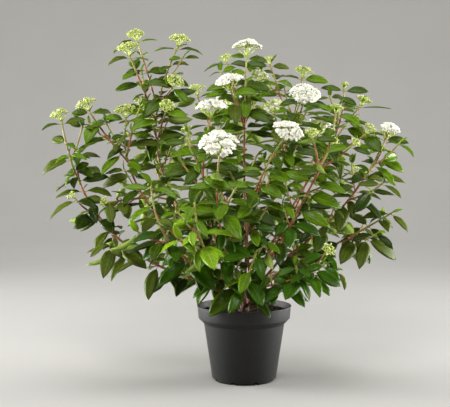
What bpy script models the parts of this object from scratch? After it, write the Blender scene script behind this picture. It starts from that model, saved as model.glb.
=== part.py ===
"""Potted laurustinus: an evergreen flowering shrub in a round plastic nursery pot.

Metres, +Z up. The origin is the centre of the pot's flat underside, the viewer stands at -Y and +X is to the
right. A short stem foot stands on the compost. Boughs leave it, and each bough ends where its own mass of
foliage begins: a leader, side shoots, leaves in opposite pairs and flat flower heads, fused into one solid.
"""

import math
import random

import bmesh
import bpy
from mathutils import Matrix, Vector
from mathutils.bvhtree import BVHTree
from mathutils.noise import noise

MM = 0.001
UP = Vector((0, 0, 1))
GAP = 0.3 * MM  # between two pieces that rest on or meet each other
CLEAR = 1 * MM  # at least, between foliage and what it passes

# Pot: a turned shell with a collar at its rim and drain notches round its foot
POT_HEIGHT = 151 * MM
POT_RIM_RADIUS = 95 * MM
POT_LIP = 1.5 * MM  # how far the lip stands out of the collar
POT_LIP_HEIGHT = 2 * MM
POT_COLLAR_HEIGHT = 31.5 * MM
POT_COLLAR_FOOT_RADIUS = 89.3 * MM
POT_SHOULDER = 4 * MM  # height of the slope in from the collar to the wall
POT_NECK_RADIUS = 81.2 * MM
POT_BASE_RADIUS = 64.5 * MM
POT_WALL = 2 * MM
POT_FOOT_RADIUS = 60.5 * MM
POT_FOOT_HEIGHT = 3 * MM
POT_FLOOR = 3.5 * MM
POT_STEPS = 32
NOTCHES = 8
NOTCH_SIZE = Vector((16, 9, 10)) * MM

# Compost, and the stem foot that stands on it
COMPOST_TOP = 139 * MM
COMPOST_CLEAR = 0.5 * MM
COMPOST_BUMP = 3 * MM
COMPOST_LUMP = 11 * MM  # across one lump of it
COMPOST_RINGS = (0, 0.2, 0.45, 0.72, 1)  # of its radius; the second still lies flat, round the stem foot
FOOT_RADIUS = 8.5 * MM
FOOT_FLARE = 13.5 * MM
FOOT_TOP_RADIUS = 6.5 * MM
FOOT_HEIGHT = 58 * MM
FLARE_SHARE = 0.16  # of the foot's height, over which its root flare runs out
FOOT_LEAN = Vector((2, 3, 0)) * MM
FOOT_STEPS = 12
FOOT_RINGS = (0, 0.06, 0.16, 0.4, 0.7, 0.93, 1)  # heights, as shares
FOOT_ROUNDING = 0.7  # of the topmost ring's radius
LOWEST_ROOT = 9 * MM  # of a bough above the compost
HIGHEST_ROOT = 50 * MM
ROOT_TRIALS = [(shift * MM, twist) for shift in (0, 4, -4) for twist in (0, 0.3, -0.3, 0.6, -0.6, 0.9, -0.9)]

# Boughs and shoots
BOUGH_RADIUS = 2.8 * MM
SHOOT_RADIUS = 2.3 * MM  # where a bough ends and its leader begins
TIP_RADIUS = 1.1 * MM
SIDE_RADIUS = 1.7 * MM
BOUGH_SIDES = 6
SHOOT_SIDES = 3
STRETCH = 48 * MM  # of limb between two rings
BOUGH_OUT = 0.35  # of its reach, how far a bough heads straight out of the bark
BOUGH_IN = 0.4  # and how far it already heads the way of its leader

# Leaves: opposite pairs, each pair a quarter turn from the one below
LEAF_LENGTH = 100 * MM
LEAF_WIDTH = 0.5  # of the length
LEAF_THICK = 2.4 * MM
LEAF_ROOT = 3.5 * MM  # of each leaf is sunk in its shoot, or so near it that nothing can pass there
LEAF_WIDEST = 0.4  # of the way to the tip
LEAF_ARCH = 0.09  # of the length, above a straight line from root to tip
LEAF_FOLD = 0.07  # of the length, from the midrib up to each edge
LEAF_GRADES = (0.85, 1.1)  # shortest and longest, of that length
LEAF_SHRINK = 0.22  # shorter at the shoot's tip than at its start
LEAF_RISE = 0.42  # of a leaf towards its shoot's tip
LEAF_FACE = 0.75  # how far its upper side faces the sky, and for the rest its shoot's tip
LEAF_SINK = 0.2  # of the shoot's radius, how far its root lies behind the shoot's line
NODE_SPACING = 55 * MM
NODE_TWIST = 0.3  # radians, at most, from an exact quarter turn
PAIR_TWIST = 0.2
DROOP = (0.25, 0.65)
HANG = 0.6  # how much more the lowest leaves hang than the topmost
HANG_FROM = 480 * MM
HANG_OVER = 250 * MM
LEAF_TRIALS = ((0, 1), (0.5, 0.92), (-0.5, 0.85), (0.9, 0.75), (0, 0.65))  # turned and shortened until it fits

# Flower heads: flat cymes, as a dome on a fan of stalks
HEAD_SIDES = 6
HEAD_RINGS = ((0.04, 0), (0.5, 0.36), (0.3, 0.56))  # radius and height of each ring, of the head's width
HEAD_MIDDLE = 0.2  # height of the place that the table gives
HEAD_UPRIGHT = 620 * MM  # a head above this height faces straight up its shoot
HEAD_TURNING = 160 * MM  # and one this much lower faces outwards

# The boughs. Each row gives, in millimetres across, back and up, the place where the foliage begins, the
# middle of its leader and the leader's tip, with the width of the flower head there, or 0 for a leafy tip.
# Then come the side shoots: the share of the leader where each leaves it, its tip and its head's width.
BOUGHS = {
    "far_left": ((-95, -10, 205), (-275, -15, 312), (-365, -20, 528), 38,
                 ((0.55, (-336, -45, 372), 20), (0.36, (-262, -95, 285), 0), (0.72, (-340, 45, 452), 0))),
    "left": ((-70, 5, 232), (-208, 0, 380), (-238, 0, 536), 46,
             ((0.70, (-314, -5, 549), 42), (0.74, (-212, 62, 558), 34), (0.46, (-272, -50, 362), 24))),
    "left_tall": ((-52, 35, 252), (-176, 60, 450), (-133, 50, 682), 44,
                  ((0.66, (-236, 50, 664), 48), (0.72, (-226, 112, 700), 38), (0.74, (-140, 0, 596), 38),
                   (0.56, (-153, -30, 546), 34))),
    "left_front": ((-46, -36, 212), (-140, -118, 285), (-176, -150, 398), 0,
                   ((0.5, (-200, -140, 310), 0),)),
    "centre_left": ((-28, -42, 225), (-78, -80, 375), (-66, -72, 538), 62,
                    ((0.52, (-118, -98, 436), 0), (0.62, (-112, -40, 500), 24))),
    "front": ((-16, -52, 213), (-50, -125, 335), (-49, -166, 455), 70,
              ((0.5, (-20, -175, 392), 0),)),
    "young_front": ((-34, -62, 206), (-78, -140, 282), (-94, -186, 368), 0,
                    ((0.45, (-118, -170, 300), 0),)),
    "centre_tall": ((4, 8, 255), (0, 5, 470), (5, 20, 664), 58,
                    ((0.60, (-30, -18, 592), 60), (0.62, (-36, 88, 650), 26), (0.64, (32, 66, 610), 40))),
    "centre_right": ((26, 42, 250), (84, 75, 450), (123, 82, 620), 38,
                     ((0.62, (54, 110, 648), 24), (0.50, (58, 10, 546), 44), (0.60, (117, -36, 566), 62))),
    "front_right": ((10, -54, 222), (12, -108, 360), (81, -142, 482), 60,
                    ((0.55, (36, -150, 420), 0),)),
    "right_front": ((42, -48, 235), (112, -110, 372), (162, -132, 476), 26,
                    ((0.72, (122, -150, 492), 26), (0.76, (200, -150, 476), 22), (0.66, (176, -70, 540), 28))),
    "right_up": ((50, 18, 262), (150, 45, 430), (242, 50, 560), 34,
                 ((0.66, (208, 78, 594), 20), (0.56, (248, 0, 500), 34), (0.45, (158, 120, 500), 30))),
    "right": ((66, -10, 238), (196, -22, 352), (286, -22, 502), 40,
              ((0.72, (292, 52, 492), 34), (0.55, (262, -92, 400), 0))),
    "far_right": ((70, 12, 214), (205, 8, 284), (298, 2, 338), 0,
                  ((0.5, (254, -66, 300), 0), (0.5, (250, 84, 306), 0))),
    "low_right": ((40, -46, 196), (105, -118, 226), (150, -165, 278), 26,
                  ((0.5, (168, -96, 232), 0),)),
    "low_front": ((-2, -48, 190), (2, -105, 215), (18, -162, 272), 0, ()),
    "back_left": ((-52, 52, 236), (-165, 150, 370), (-206, 192, 520), 42,
                  ((0.60, (-132, 236, 478), 36), (0.45, (-255, 170, 384), 0))),
    "back": ((-8, 56, 246), (-38, 160, 400), (-30, 218, 570), 60,
             ((0.62, (-102, 196, 590), 40), (0.60, (44, 212, 600), 38))),
    "back_right": ((44, 52, 236), (126, 150, 366), (168, 198, 510), 56,
                   ((0.60, (98, 246, 462), 34), (0.50, (238, 152, 420), 26))),
    "back_low_left": ((-44, 44, 200), (-135, 162, 240), (-172, 228, 328), 0,
                      ((0.5, (-96, 244, 286), 0),)),
    "back_low_right": ((44, 44, 200), (124, 152, 236), (172, 224, 318), 0,
                       ((0.5, (88, 238, 284), 0),)),
}

SIDE_BOW = 0.1  # of its length, how far a side shoot bows down before it turns up
SPUR_CHANCE = 0.2  # of a leafy spur in a leaf's axil
SPUR_LENGTH = 70 * MM
SPUR_GRADES = (0.8, 1.25)
SPUR_RADIUS = 1.5 * MM
SPUR_LEAF = 0.72  # of a leaf's full length
SPUR_FROM = 0.12  # of the way up the shoot
SPUR_TO = 0.9
SPACE_OVERLAP = 30 * MM  # how far a leaf may pass the surface half way to the next mass

BARK = ("reddish brown bark", (0.23, 0.075, 0.035), 0.7)
FOLIAGE = ("evergreen foliage", (0.07, 0.17, 0.02), 0.5)
BLACK_PLASTIC = ("black moulded plastic", (0.035, 0.035, 0.035), 0.5)
PEAT = ("peat compost", (0.035, 0.02, 0.012), 0.95)


def clear_scene():
    for old in list(bpy.data.objects):
        bpy.data.objects.remove(old)


def material_of(finish):
    """The Principled material of this name, colour and roughness, made once."""
    name, colour, roughness = finish
    made = bpy.data.materials.get(name)
    if made is None:
        made = bpy.data.materials.new(name)
        made.use_nodes = True
        shader = made.node_tree.nodes["Principled BSDF"]
        shader.inputs["Base Color"].default_value = (*colour, 1)
        shader.inputs["Roughness"].default_value = roughness
        shader.inputs["Metallic"].default_value = 0
    return made


def add_object(name, mesh, finish, collection=None):
    mesh.materials.append(material_of(finish))
    made = bpy.data.objects.new(name, mesh)
    (collection or bpy.context.scene.collection).objects.link(made)
    return made


def object_of(name, bm, finish):
    """A new object with this bmesh, which is freed, facing out."""
    bmesh.ops.recalc_face_normals(bm, faces=bm.faces)
    mesh = bpy.data.meshes.new(name)
    bm.to_mesh(mesh)
    bm.free()
    return add_object(name, mesh, finish)


def object_from(name, solid, finish, collection=None):
    """A new object with these points and faces."""
    points, faces = solid
    mesh = bpy.data.meshes.new(name)
    mesh.from_pydata(points, [], faces)
    return add_object(name, mesh, finish, collection)


def solid_of(made):
    """The points and faces of an object."""
    points = [vert.co.copy() for vert in made.data.vertices]
    return points, [tuple(face.vertices) for face in made.data.polygons]


def apply_boolean(target, operation, solver, **operand):
    """Applies one Boolean modifier to target."""
    boolean = target.modifiers.new("join", "BOOLEAN")
    boolean.operation = operation
    boolean.solver = solver
    for key, value in operand.items():
        setattr(boolean, key, value)
    graph = bpy.context.evaluated_depsgraph_get()
    mesh = bpy.data.meshes.new_from_object(target.evaluated_get(graph))
    target.modifiers.clear()
    target.data = mesh


# Pot and compost


def turned(profile, steps):
    """A bmesh of the profile (radius, height) turned round the Z axis."""
    bm = bmesh.new()
    points = [bm.verts.new((radius, 0, height)) for radius, height in profile]
    edges = [bm.edges.new(pair) for pair in zip(points, points[1:])]
    bmesh.ops.spin(bm, geom=points + edges, cent=(0, 0, 0), axis=UP, angle=math.tau, steps=steps)
    bmesh.ops.remove_doubles(bm, verts=bm.verts, dist=0.01 * MM)
    bmesh.ops.recalc_face_normals(bm, faces=bm.faces)
    return bm


def pot_outside():
    """Radius and height up the outside of the pot, from the middle of its underside to the rim."""
    collar_foot = POT_HEIGHT - POT_COLLAR_HEIGHT
    return [
        (0, 0),
        (POT_FOOT_RADIUS - POT_FOOT_HEIGHT / 3, 0),
        (POT_FOOT_RADIUS, POT_FOOT_HEIGHT),
        (POT_BASE_RADIUS, POT_FOOT_HEIGHT),
        (POT_NECK_RADIUS, collar_foot - POT_SHOULDER),
        (POT_COLLAR_FOOT_RADIUS, collar_foot),
        (POT_RIM_RADIUS - POT_LIP, POT_HEIGHT - 1.5 * POT_LIP_HEIGHT),
        (POT_RIM_RADIUS, POT_HEIGHT - POT_LIP_HEIGHT),
        (POT_RIM_RADIUS, POT_HEIGHT),
    ]


def pot_inside(inset):
    """Radius and height down the inside of the pot, this far clear of its wall and floor."""
    collar_foot = POT_HEIGHT - POT_COLLAR_HEIGHT + POT_WALL / 2
    wall = POT_WALL + inset
    return [
        (POT_RIM_RADIUS - POT_LIP - wall, POT_HEIGHT),
        (POT_COLLAR_FOOT_RADIUS - wall, collar_foot),
        (POT_NECK_RADIUS - wall, collar_foot - POT_SHOULDER),
        (POT_BASE_RADIUS - wall, POT_FLOOR + inset),
        (0, POT_FLOOR + inset),
    ]


def make_pot():
    pot = object_of("pot", turned(pot_outside() + pot_inside(0), POT_STEPS), BLACK_PLASTIC)
    for turn in range(NOTCHES):
        angle = math.tau * (turn + 0.5) / NOTCHES
        place = Matrix.Rotation(angle, 4, "Z") @ Matrix.Translation((POT_FOOT_RADIUS, 0, 0))
        bm = bmesh.new()
        bmesh.ops.create_cube(bm, size=1, matrix=place @ Matrix.Diagonal((*NOTCH_SIZE, 1)))
        cutter = object_of("notch", bm, BLACK_PLASTIC)
        apply_boolean(pot, "DIFFERENCE", "EXACT", object=cutter)
        bpy.data.objects.remove(cutter)
    pot.data.shade_smooth()
    pot.data.set_sharp_from_angle(angle=math.radians(35))
    return pot


def make_compost():
    """Compost that fills the pot to just under its rim, rough on top and flat under the stem foot."""
    inside = pot_inside(COMPOST_CLEAR)
    (rim_radius, rim_height), (collar_radius, collar_height) = inside[:2]
    share = (COMPOST_TOP - collar_height) / (rim_height - collar_height)
    edge = collar_radius + share * (rim_radius - collar_radius)
    top = [(edge * ring, COMPOST_TOP) for ring in COMPOST_RINGS]
    bm = turned(top + inside[1:], POT_STEPS)
    for vert in bm.verts:
        radius = vert.co.xy.length
        if vert.co.z > COMPOST_TOP - 1 * MM and radius > 1.5 * FOOT_FLARE:
            rough = noise(vert.co / COMPOST_LUMP)
            vert.co.z += COMPOST_BUMP * (rough - 0.5 * radius / edge)
    return object_of("compost", bm, PEAT)


# Limbs


class Curve:
    """A limb's line: it starts, bows through its middle and ends at its tip, in a few straight stretches."""

    def __init__(self, start, middle, tip):
        pull = 2 * middle - (start + tip) / 2
        self.length = (middle - start).length + (tip - middle).length
        self.stretches = max(1, round(self.length / STRETCH))
        self.points = []
        for step in range(self.stretches + 1):
            share = step / self.stretches
            rest = 1 - share
            self.points.append(rest * rest * start + 2 * share * rest * pull + share * share * tip)

    def stretch_at(self, share):
        """Which stretch this share of the line falls in, and how far along that stretch it is."""
        place = min(max(share, 0), 1) * self.stretches
        step = min(int(place), self.stretches - 1)
        return step, place - step

    def at(self, share):
        step, rest = self.stretch_at(share)
        return self.points[step].lerp(self.points[step + 1], rest)

    def along(self, share):
        step, _ = self.stretch_at(share)
        return (self.points[step + 1] - self.points[step]).normalized()


def limb(curve, radius, tip_radius, sides, ends=(None, None)):
    """Points and faces of one tapering limb, its rings square to its line or, at its ends, to those ways."""
    points = []
    side = curve.along(0).orthogonal()
    for ring in range(curve.stretches + 1):
        share = ring / curve.stretches
        along = (curve.along(share - 0.01) + curve.along(share + 0.01)).normalized()
        if share in (0, 1) and ends[round(share)]:
            along = ends[round(share)]
        side = (side - side.dot(along) * along).normalized()
        other = along.cross(side)
        size = radius + share * (tip_radius - radius)
        for corner in range(sides):
            angle = math.tau * corner / sides
            points.append(curve.at(share) + size * (math.cos(angle) * side + math.sin(angle) * other))
    return points, ring_faces(curve.stretches + 1, sides)


def ring_faces(rings, sides):
    """Faces that join equal rings of points into one closed skin, with a flat face over each end."""
    faces = [tuple(reversed(range(sides))), tuple(range((rings - 1) * sides, rings * sides))]
    for ring in range(rings - 1):
        for corner in range(sides):
            beside = (corner + 1) % sides
            low, high = ring * sides, (ring + 1) * sides
            faces.append((low + corner, low + beside, high + beside, high + corner))
    return faces


def foot_radius(height):
    """Radius of the stem foot at this height above the compost: a root flare, then a slow taper."""
    share = height / FOOT_HEIGHT
    straight = FOOT_RADIUS + share * (FOOT_TOP_RADIUS - FOOT_RADIUS)
    return straight + (FOOT_FLARE - FOOT_RADIUS) * max(0, 1 - share / FLARE_SHARE) ** 2


def foot_axis(height):
    return Vector((0, 0, COMPOST_TOP + GAP + height)) + height / FOOT_HEIGHT * FOOT_LEAN


def make_stem_foot():
    """The short woody foot of the shrub, from a flat cut on the compost to its rounded top."""
    points = []
    for share in FOOT_RINGS:
        radius = foot_radius(share * FOOT_HEIGHT) * (FOOT_ROUNDING if share == 1 else 1)
        for step in range(FOOT_STEPS):
            angle = math.tau * step / FOOT_STEPS
            around = Vector((radius * math.cos(angle), radius * math.sin(angle), 0))
            points.append(foot_axis(share * FOOT_HEIGHT) + around)
    foot = points, ring_faces(len(FOOT_RINGS), FOOT_STEPS)
    object_from("stem_foot", foot, BARK)
    return foot


def bough_curve(mass, height, twist, bark):
    """A bough's line into its leader, from the foot's bark at this height and twist, and the way out there."""
    axis = foot_axis(height)
    outward = (mass.begin - axis).xy.to_3d()
    if outward.length < 2 * FOOT_RADIUS:
        outward = UP.copy()  # this bough stands over the foot, so it rises from its top
    outward.rotate(Matrix.Rotation(twist, 3, "Z"))
    place, normal, _, _ = bark.ray_cast(axis + 4 * FOOT_HEIGHT * outward.normalized(), -outward)
    root = place + GAP * normal
    reach = (mass.begin - root).length
    bend = 0.5 * (root + BOUGH_OUT * reach * normal + mass.begin - BOUGH_IN * reach * mass.way)
    return Curve(root, 0.25 * root + 0.5 * bend + 0.25 * mass.begin, mass.begin), normal


def add_bough(mass, height, foot, limbs):
    """One tapering bough, its root shifted and twisted round the foot until it passes clear of the others."""
    for shift, twist in ROOT_TRIALS:
        curve, normal = bough_curve(mass, height + shift, twist, BVHTree.FromPolygons(*foot))
        ends = (normal, mass.way)
        solid = limb(curve, BOUGH_RADIUS, SHOOT_RADIUS, BOUGH_SIDES, ends)
        tree = BVHTree.FromPolygons(*solid)
        if not any(tree.overlap(BVHTree.FromPolygons(*other)) for other in (foot, *limbs)):
            object_from(f"bough_{mass.name}", solid, BARK)
            limbs.append(limb(curve, BOUGH_RADIUS + CLEAR, SHOOT_RADIUS + CLEAR, BOUGH_SIDES, ends))
            return
    raise ValueError(f"no room for the bough of {mass.name}")


def make_boughs(masses, foot):
    """A bough for each mass, from the stem foot to where its foliage begins, the lowest root first."""
    limbs = []
    rising = sorted(masses, key=lambda mass: mass.begin.z)
    for rank, mass in enumerate(rising):
        height = LOWEST_ROOT + (HIGHEST_ROOT - LOWEST_ROOT) * rank / (len(rising) - 1)
        add_bough(mass, height, foot, limbs)
    return limbs


# Leaves and flower heads


def facing(origin, forward, upward):
    """A matrix at origin with X forward and Z as near to upward as it can be."""
    forward = forward.normalized()
    side = upward.cross(forward).normalized()
    return Matrix.Translation(origin) @ Matrix((forward, side, forward.cross(side))).transposed().to_4x4()


def leaf(place, length, thick, root=0):
    """Points and faces of one leaf: eight faces round a midrib, arched along it and folded up beside it."""
    half = LEAF_WIDTH / 2 * length
    arch = LEAF_ARCH * length
    widest = LEAF_WIDEST * length
    edge = arch + LEAF_FOLD * length
    corners = [
        (root, 0, 0),
        (widest, half, edge),
        (length, 0, 0),
        (widest, -half, edge),
        (widest, 0, arch + thick / 2),
        (widest, 0, arch - thick / 2),
    ]
    points = [place @ Vector(corner) for corner in corners]
    faces = []
    for corner in range(4):
        beside = (corner + 1) % 4
        faces += [(beside, corner, 4), (corner, beside, 5)]
    return points, faces


def leaf_place(shoot, share, turn, droop):
    """Where a leaf sits: its root sunk in the shoot, pointing out at this turn, and hanging by droop."""
    along = shoot.curve.along(share)
    side = along.cross(Vector((0.3, 1, 0.2))).normalized()
    out = Matrix.Rotation(turn, 3, along) @ side
    forward = (out + LEAF_RISE * along - droop * UP).normalized()
    root = shoot.curve.at(share) - LEAF_SINK * shoot.radius * forward
    return facing(root, forward, LEAF_FACE * UP + (1 - LEAF_FACE) * along)


def head_axis(tip, along):
    """Which way a flower head faces: up its shoot, and the lower it is, the more it faces outwards."""
    lean = min(1, max(0, (HEAD_UPRIGHT - tip.z) / HEAD_TURNING))
    return (along + lean * tip.xy.to_3d().normalized()).normalized()


def head(shoot):
    """Points and faces of one flower head: a fan of stalks, as a cone, under a low dome."""
    place = facing(shoot.curve.at(1) - 2 * TIP_RADIUS * shoot.axis, shoot.axis.orthogonal(), shoot.axis)
    points = []
    for radius, height in HEAD_RINGS:
        for corner in range(HEAD_SIDES):
            angle = math.tau * corner / HEAD_SIDES
            around = Vector((radius * math.cos(angle), radius * math.sin(angle), height))
            points.append(place @ (shoot.width * around))
    return points, ring_faces(len(HEAD_RINGS), HEAD_SIDES)


# Foliage


class Shoot:
    """One shoot: its line, its radius where it starts, and the width of the flower head at its tip, or 0."""

    def __init__(self, key, start, middle, tip, radius, width):
        self.key = key
        self.radius = radius
        self.width = width
        self.axis = head_axis(tip, (tip - middle).normalized())
        self.curve = Curve(start, middle, tip - HEAD_MIDDLE * width * self.axis)


class Mass:
    """One bough's foliage: its leader and side shoots, and the pieces to fuse."""

    def __init__(self, name, row):
        *places, width, sides = row
        self.name = name
        leader = Shoot("leader", *(MM * Vector(place) for place in places), SHOOT_RADIUS, MM * width)
        self.shoots = [leader]
        self.way = leader.curve.along(0)
        self.begin = leader.curve.at(0) - GAP * self.way
        for number, (share, side_tip, side_width) in enumerate(sides):
            side_tip = MM * Vector(side_tip)
            fork = leader.curve.at(share)
            reach = (side_tip - fork).length
            middle = 0.5 * (fork + side_tip) + SIDE_BOW * reach * (leader.curve.along(share) - UP)
            self.shoots.append(Shoot(number, fork, middle, side_tip, SIDE_RADIUS, MM * side_width))
        self.pieces = []

    def distance(self, point):
        """From this point to the nearest of the shoots, at a few places on each."""
        return min((shoot.curve.at(step / 5) - point).length for shoot in self.shoots for step in range(6))


def box_of(points):
    low = [min(point[axis] for point in points) for axis in range(3)]
    high = [max(point[axis] for point in points) for axis in range(3)]
    return low, high


class Crown:
    """All masses, and what has been grown so far, so that nothing grows through anything else."""

    def __init__(self, masses):
        self.masses = masses
        self.grown = []

    def grow(self, solid, key, mass=None):
        points, faces = solid
        self.grown.append((key, BVHTree.FromPolygons(points, faces), *box_of(points)))
        if mass:
            mass.pieces.append(solid)

    def is_clear(self, solid, beside=None):
        """Whether this shape meets nothing but the piece beside it."""
        points, faces = solid
        tree = BVHTree.FromPolygons(points, faces)
        low, high = box_of(points)
        for key, other, other_low, other_high in self.grown:
            near = all(low[axis] < other_high[axis] and high[axis] > other_low[axis] for axis in range(3))
            if near and key != beside and tree.overlap(other):
                return False
        return True

    def in_space(self, mass, point):
        """Whether this point is in the mass's own space: nearer its shoots than any other mass's, or nearly."""
        own = mass.distance(point)
        return all(own < other.distance(point) + SPACE_OVERLAP for other in self.masses if other is not mass)

    def add_shoot(self, mass, shoot):
        self.grow(limb(shoot.curve, shoot.radius, TIP_RADIUS, SHOOT_SIDES), (mass.name, shoot.key), mass)
        if shoot.width:
            self.grow(head(shoot), (mass.name, shoot.key, "head"), mass)

    def add_leaves(self, mass, shoot, size, spurs):
        """Leaf pairs up one shoot, with leafy spurs in some of their axils."""
        chance = random.Random(f"{mass.name} {shoot.key}")
        pairs = max(2, round(shoot.curve.length / NODE_SPACING))
        turn = chance.uniform(0, math.pi)
        for pair in range(pairs):
            share = (pair + 0.55) / (pairs - 0.3)
            if pair == pairs - 1 and not shoot.width:
                share = 0.98
            turn += math.pi / 2 + chance.uniform(-NODE_TWIST, NODE_TWIST)
            for half in (0, 1):
                length = LEAF_LENGTH * size * chance.uniform(*LEAF_GRADES) * (1 - LEAF_SHRINK * share)
                low = min(1, max(0, (HANG_FROM - shoot.curve.at(share).z) / HANG_OVER))
                droop = chance.uniform(*DROOP) + HANG * low
                spur_length = SPUR_LENGTH * chance.uniform(*SPUR_GRADES)
                sprouts = chance.random() < SPUR_CHANCE
                way = turn + half * math.pi + chance.uniform(-PAIR_TWIST, PAIR_TWIST)
                self.add_leaf(mass, shoot, share, way, droop, length)
                if spurs and sprouts and SPUR_FROM < share < SPUR_TO:
                    self.add_spur(mass, shoot, share, way, spur_length)

    def add_leaf(self, mass, shoot, share, turn, droop, length):
        """One leaf, turned and shortened until it fits, or none."""
        key = (mass.name, shoot.key)
        for twist, shorter in LEAF_TRIALS:
            place = leaf_place(shoot, share, turn + twist, droop)
            size = shorter * length
            if not all(self.in_space(mass, place @ Vector((reach * size, 0, 0))) for reach in (0.6, 1)):
                continue
            around = leaf(place, size + 2 * CLEAR, LEAF_THICK + 2 * CLEAR, LEAF_ROOT)
            blade = leaf(place, size, LEAF_THICK, LEAF_ROOT)
            if self.is_clear(blade, key) and self.is_clear(around, key):
                self.grow(blade, (*key, "leaf"))
                mass.pieces.append(leaf(place, size, LEAF_THICK))
                return

    def add_spur(self, mass, shoot, share, turn, length):
        """A short leafy shoot from a leaf's axil, between the leaf and its shoot."""
        start = shoot.curve.at(share)
        out = leaf_place(shoot, share, turn, 0).to_3x3() @ Vector((1, 0, 0))
        way = (0.8 * out + 0.6 * shoot.curve.along(share) + 0.5 * UP).normalized()
        tip = start + length * way
        middle = start + 0.5 * length * way - SIDE_BOW * length * UP
        spur = Shoot((shoot.key, round(share, 2), turn), start, middle, tip, SPUR_RADIUS, 0)
        around = limb(spur.curve, SPUR_RADIUS + CLEAR, TIP_RADIUS + CLEAR, SHOOT_SIDES)
        if self.in_space(mass, tip) and self.is_clear(around, (mass.name, shoot.key)):
            self.add_shoot(mass, spur)
            self.add_leaves(mass, spur, SPUR_LEAF, False)


def fuse(mass):
    """Joins a mass's shoots, leaves and heads into its one solid."""
    collection = bpy.data.collections.new("growing")
    bpy.context.scene.collection.children.link(collection)
    leader, *rest = mass.pieces
    foliage = object_from(f"foliage_{mass.name}", leader, FOLIAGE)
    for solid in rest:
        object_from("piece", solid, FOLIAGE, collection)
    apply_boolean(foliage, "UNION", "MANIFOLD", operand_type="COLLECTION", collection=collection)
    for piece in list(collection.objects):
        bpy.data.objects.remove(piece)
    bpy.data.collections.remove(collection)
    drop_scraps(foliage.data)


def drop_scraps(mesh):
    """Keeps the largest connected piece of the mesh."""
    bm = bmesh.new()
    bm.from_mesh(mesh)
    left = set(bm.verts)
    bodies = []
    while left:
        body = {left.pop()}
        edge = list(body)
        while edge:
            beside = {link.other_vert(vert) for vert in edge for link in vert.link_edges} & left
            left -= beside
            body |= beside
            edge = list(beside)
        bodies.append(body)
    bodies.sort(key=len)
    for body in bodies[:-1]:
        bmesh.ops.delete(bm, geom=list(body), context="VERTS")
    bm.to_mesh(mesh)
    bm.free()


def main():
    clear_scene()
    pot = make_pot()
    compost = make_compost()
    foot = make_stem_foot()
    masses = [Mass(name, row) for name, row in BOUGHS.items()]
    crown = Crown(masses)
    for solid in (solid_of(pot), solid_of(compost), foot, *make_boughs(masses, foot)):
        crown.grow(solid, "limb")
    for mass in masses:
        for shoot in mass.shoots:
            crown.add_shoot(mass, shoot)
    for mass in masses:
        for shoot in mass.shoots:
            crown.add_leaves(mass, shoot, 1, True)
    for mass in masses:
        fuse(mass)


main()
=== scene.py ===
# %% [markdown]
# # A potted laurustinus, dressed
#
# Laurustinus is an evergreen shrub that flowers in winter: reddish shoots, glossy leaves in opposite pairs,
# and flat heads of small white flowers that open from greenish buds. This one stands in a black nursery pot.
#
# A solid model gives the sizes: a pot, compost, a short woody foot, 21 boughs and 21 masses of large,
# plain leaves. This lesson puts a finer plant in their place. Most of it is grown by rule, because nobody
# places a thousand leaves by hand. The few made things, the pot, its fill and the floor, are modelled with
# edit tools.

import math
import random

import bpy
import numpy as np
from mathutils import Matrix, Vector
from mathutils.bvhtree import BVHTree
from mathutils.noise import noise


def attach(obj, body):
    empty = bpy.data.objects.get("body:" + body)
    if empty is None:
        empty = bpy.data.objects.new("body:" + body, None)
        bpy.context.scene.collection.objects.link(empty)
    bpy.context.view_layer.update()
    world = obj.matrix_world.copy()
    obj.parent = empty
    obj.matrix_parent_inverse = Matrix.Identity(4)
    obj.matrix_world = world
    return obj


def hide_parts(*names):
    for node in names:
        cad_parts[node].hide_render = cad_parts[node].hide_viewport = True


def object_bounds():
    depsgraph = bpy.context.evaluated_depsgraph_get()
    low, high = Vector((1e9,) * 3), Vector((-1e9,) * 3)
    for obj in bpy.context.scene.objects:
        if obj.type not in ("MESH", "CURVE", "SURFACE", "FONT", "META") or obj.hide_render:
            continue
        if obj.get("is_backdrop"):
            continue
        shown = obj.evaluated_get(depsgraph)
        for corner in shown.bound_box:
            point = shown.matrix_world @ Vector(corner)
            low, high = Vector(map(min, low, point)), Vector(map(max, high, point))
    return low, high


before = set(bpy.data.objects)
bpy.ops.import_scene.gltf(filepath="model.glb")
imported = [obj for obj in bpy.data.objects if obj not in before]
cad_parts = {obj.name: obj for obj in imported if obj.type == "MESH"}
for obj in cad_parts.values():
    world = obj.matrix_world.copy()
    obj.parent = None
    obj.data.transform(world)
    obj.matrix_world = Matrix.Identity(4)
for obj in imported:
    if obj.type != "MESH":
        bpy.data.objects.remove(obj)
CAD_BOX = [list(corner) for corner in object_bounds()]
MM = 0.001
UP = Vector((0, 0, 1))


def on_circle(radius, angle, height=0):
    """A point this far from the Z axis, at this angle and height."""
    return Vector((radius * math.cos(angle), radius * math.sin(angle), height))


print("solid model's box, metres:", CAD_BOX)

# %% [markdown]
# ## Camera
#
# The photograph was taken from a little above the pot's rim and from far enough away that the pot's sides
# barely converge. Two metres and a lens of about 80 mm on a 36 mm sensor give the same. The camera looks
# slightly down, and stands a little to the left of the pot, because the shrub reaches further that way.

# %% Place the camera
CAMERA_SIDE = -0.0387
CAMERA_AWAY = 2.0
CAMERA_HEIGHT = 0.4688
AIM_HEIGHT = 0.3563
SENSOR_WIDTH = 36
LENS = 79.81


def deselect_all():
    bpy.ops.object.select_all(action="DESELECT")


camera_place = Vector((CAMERA_SIDE, -CAMERA_AWAY, CAMERA_HEIGHT))
camera_way = Vector((CAMERA_SIDE, 0, AIM_HEIGHT)) - camera_place
deselect_all()
bpy.ops.object.camera_add(location=camera_place)
camera = bpy.context.object
camera.rotation_euler = camera_way.to_track_quat("-Z", "Y").to_euler()
camera.data.sensor_width = SENSOR_WIDTH
camera.data.lens = LENS
bpy.context.scene.camera = camera
print("camera looks", round(math.degrees(math.atan2(-camera_way.z, camera_way.y)), 1), "degrees down")

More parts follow.
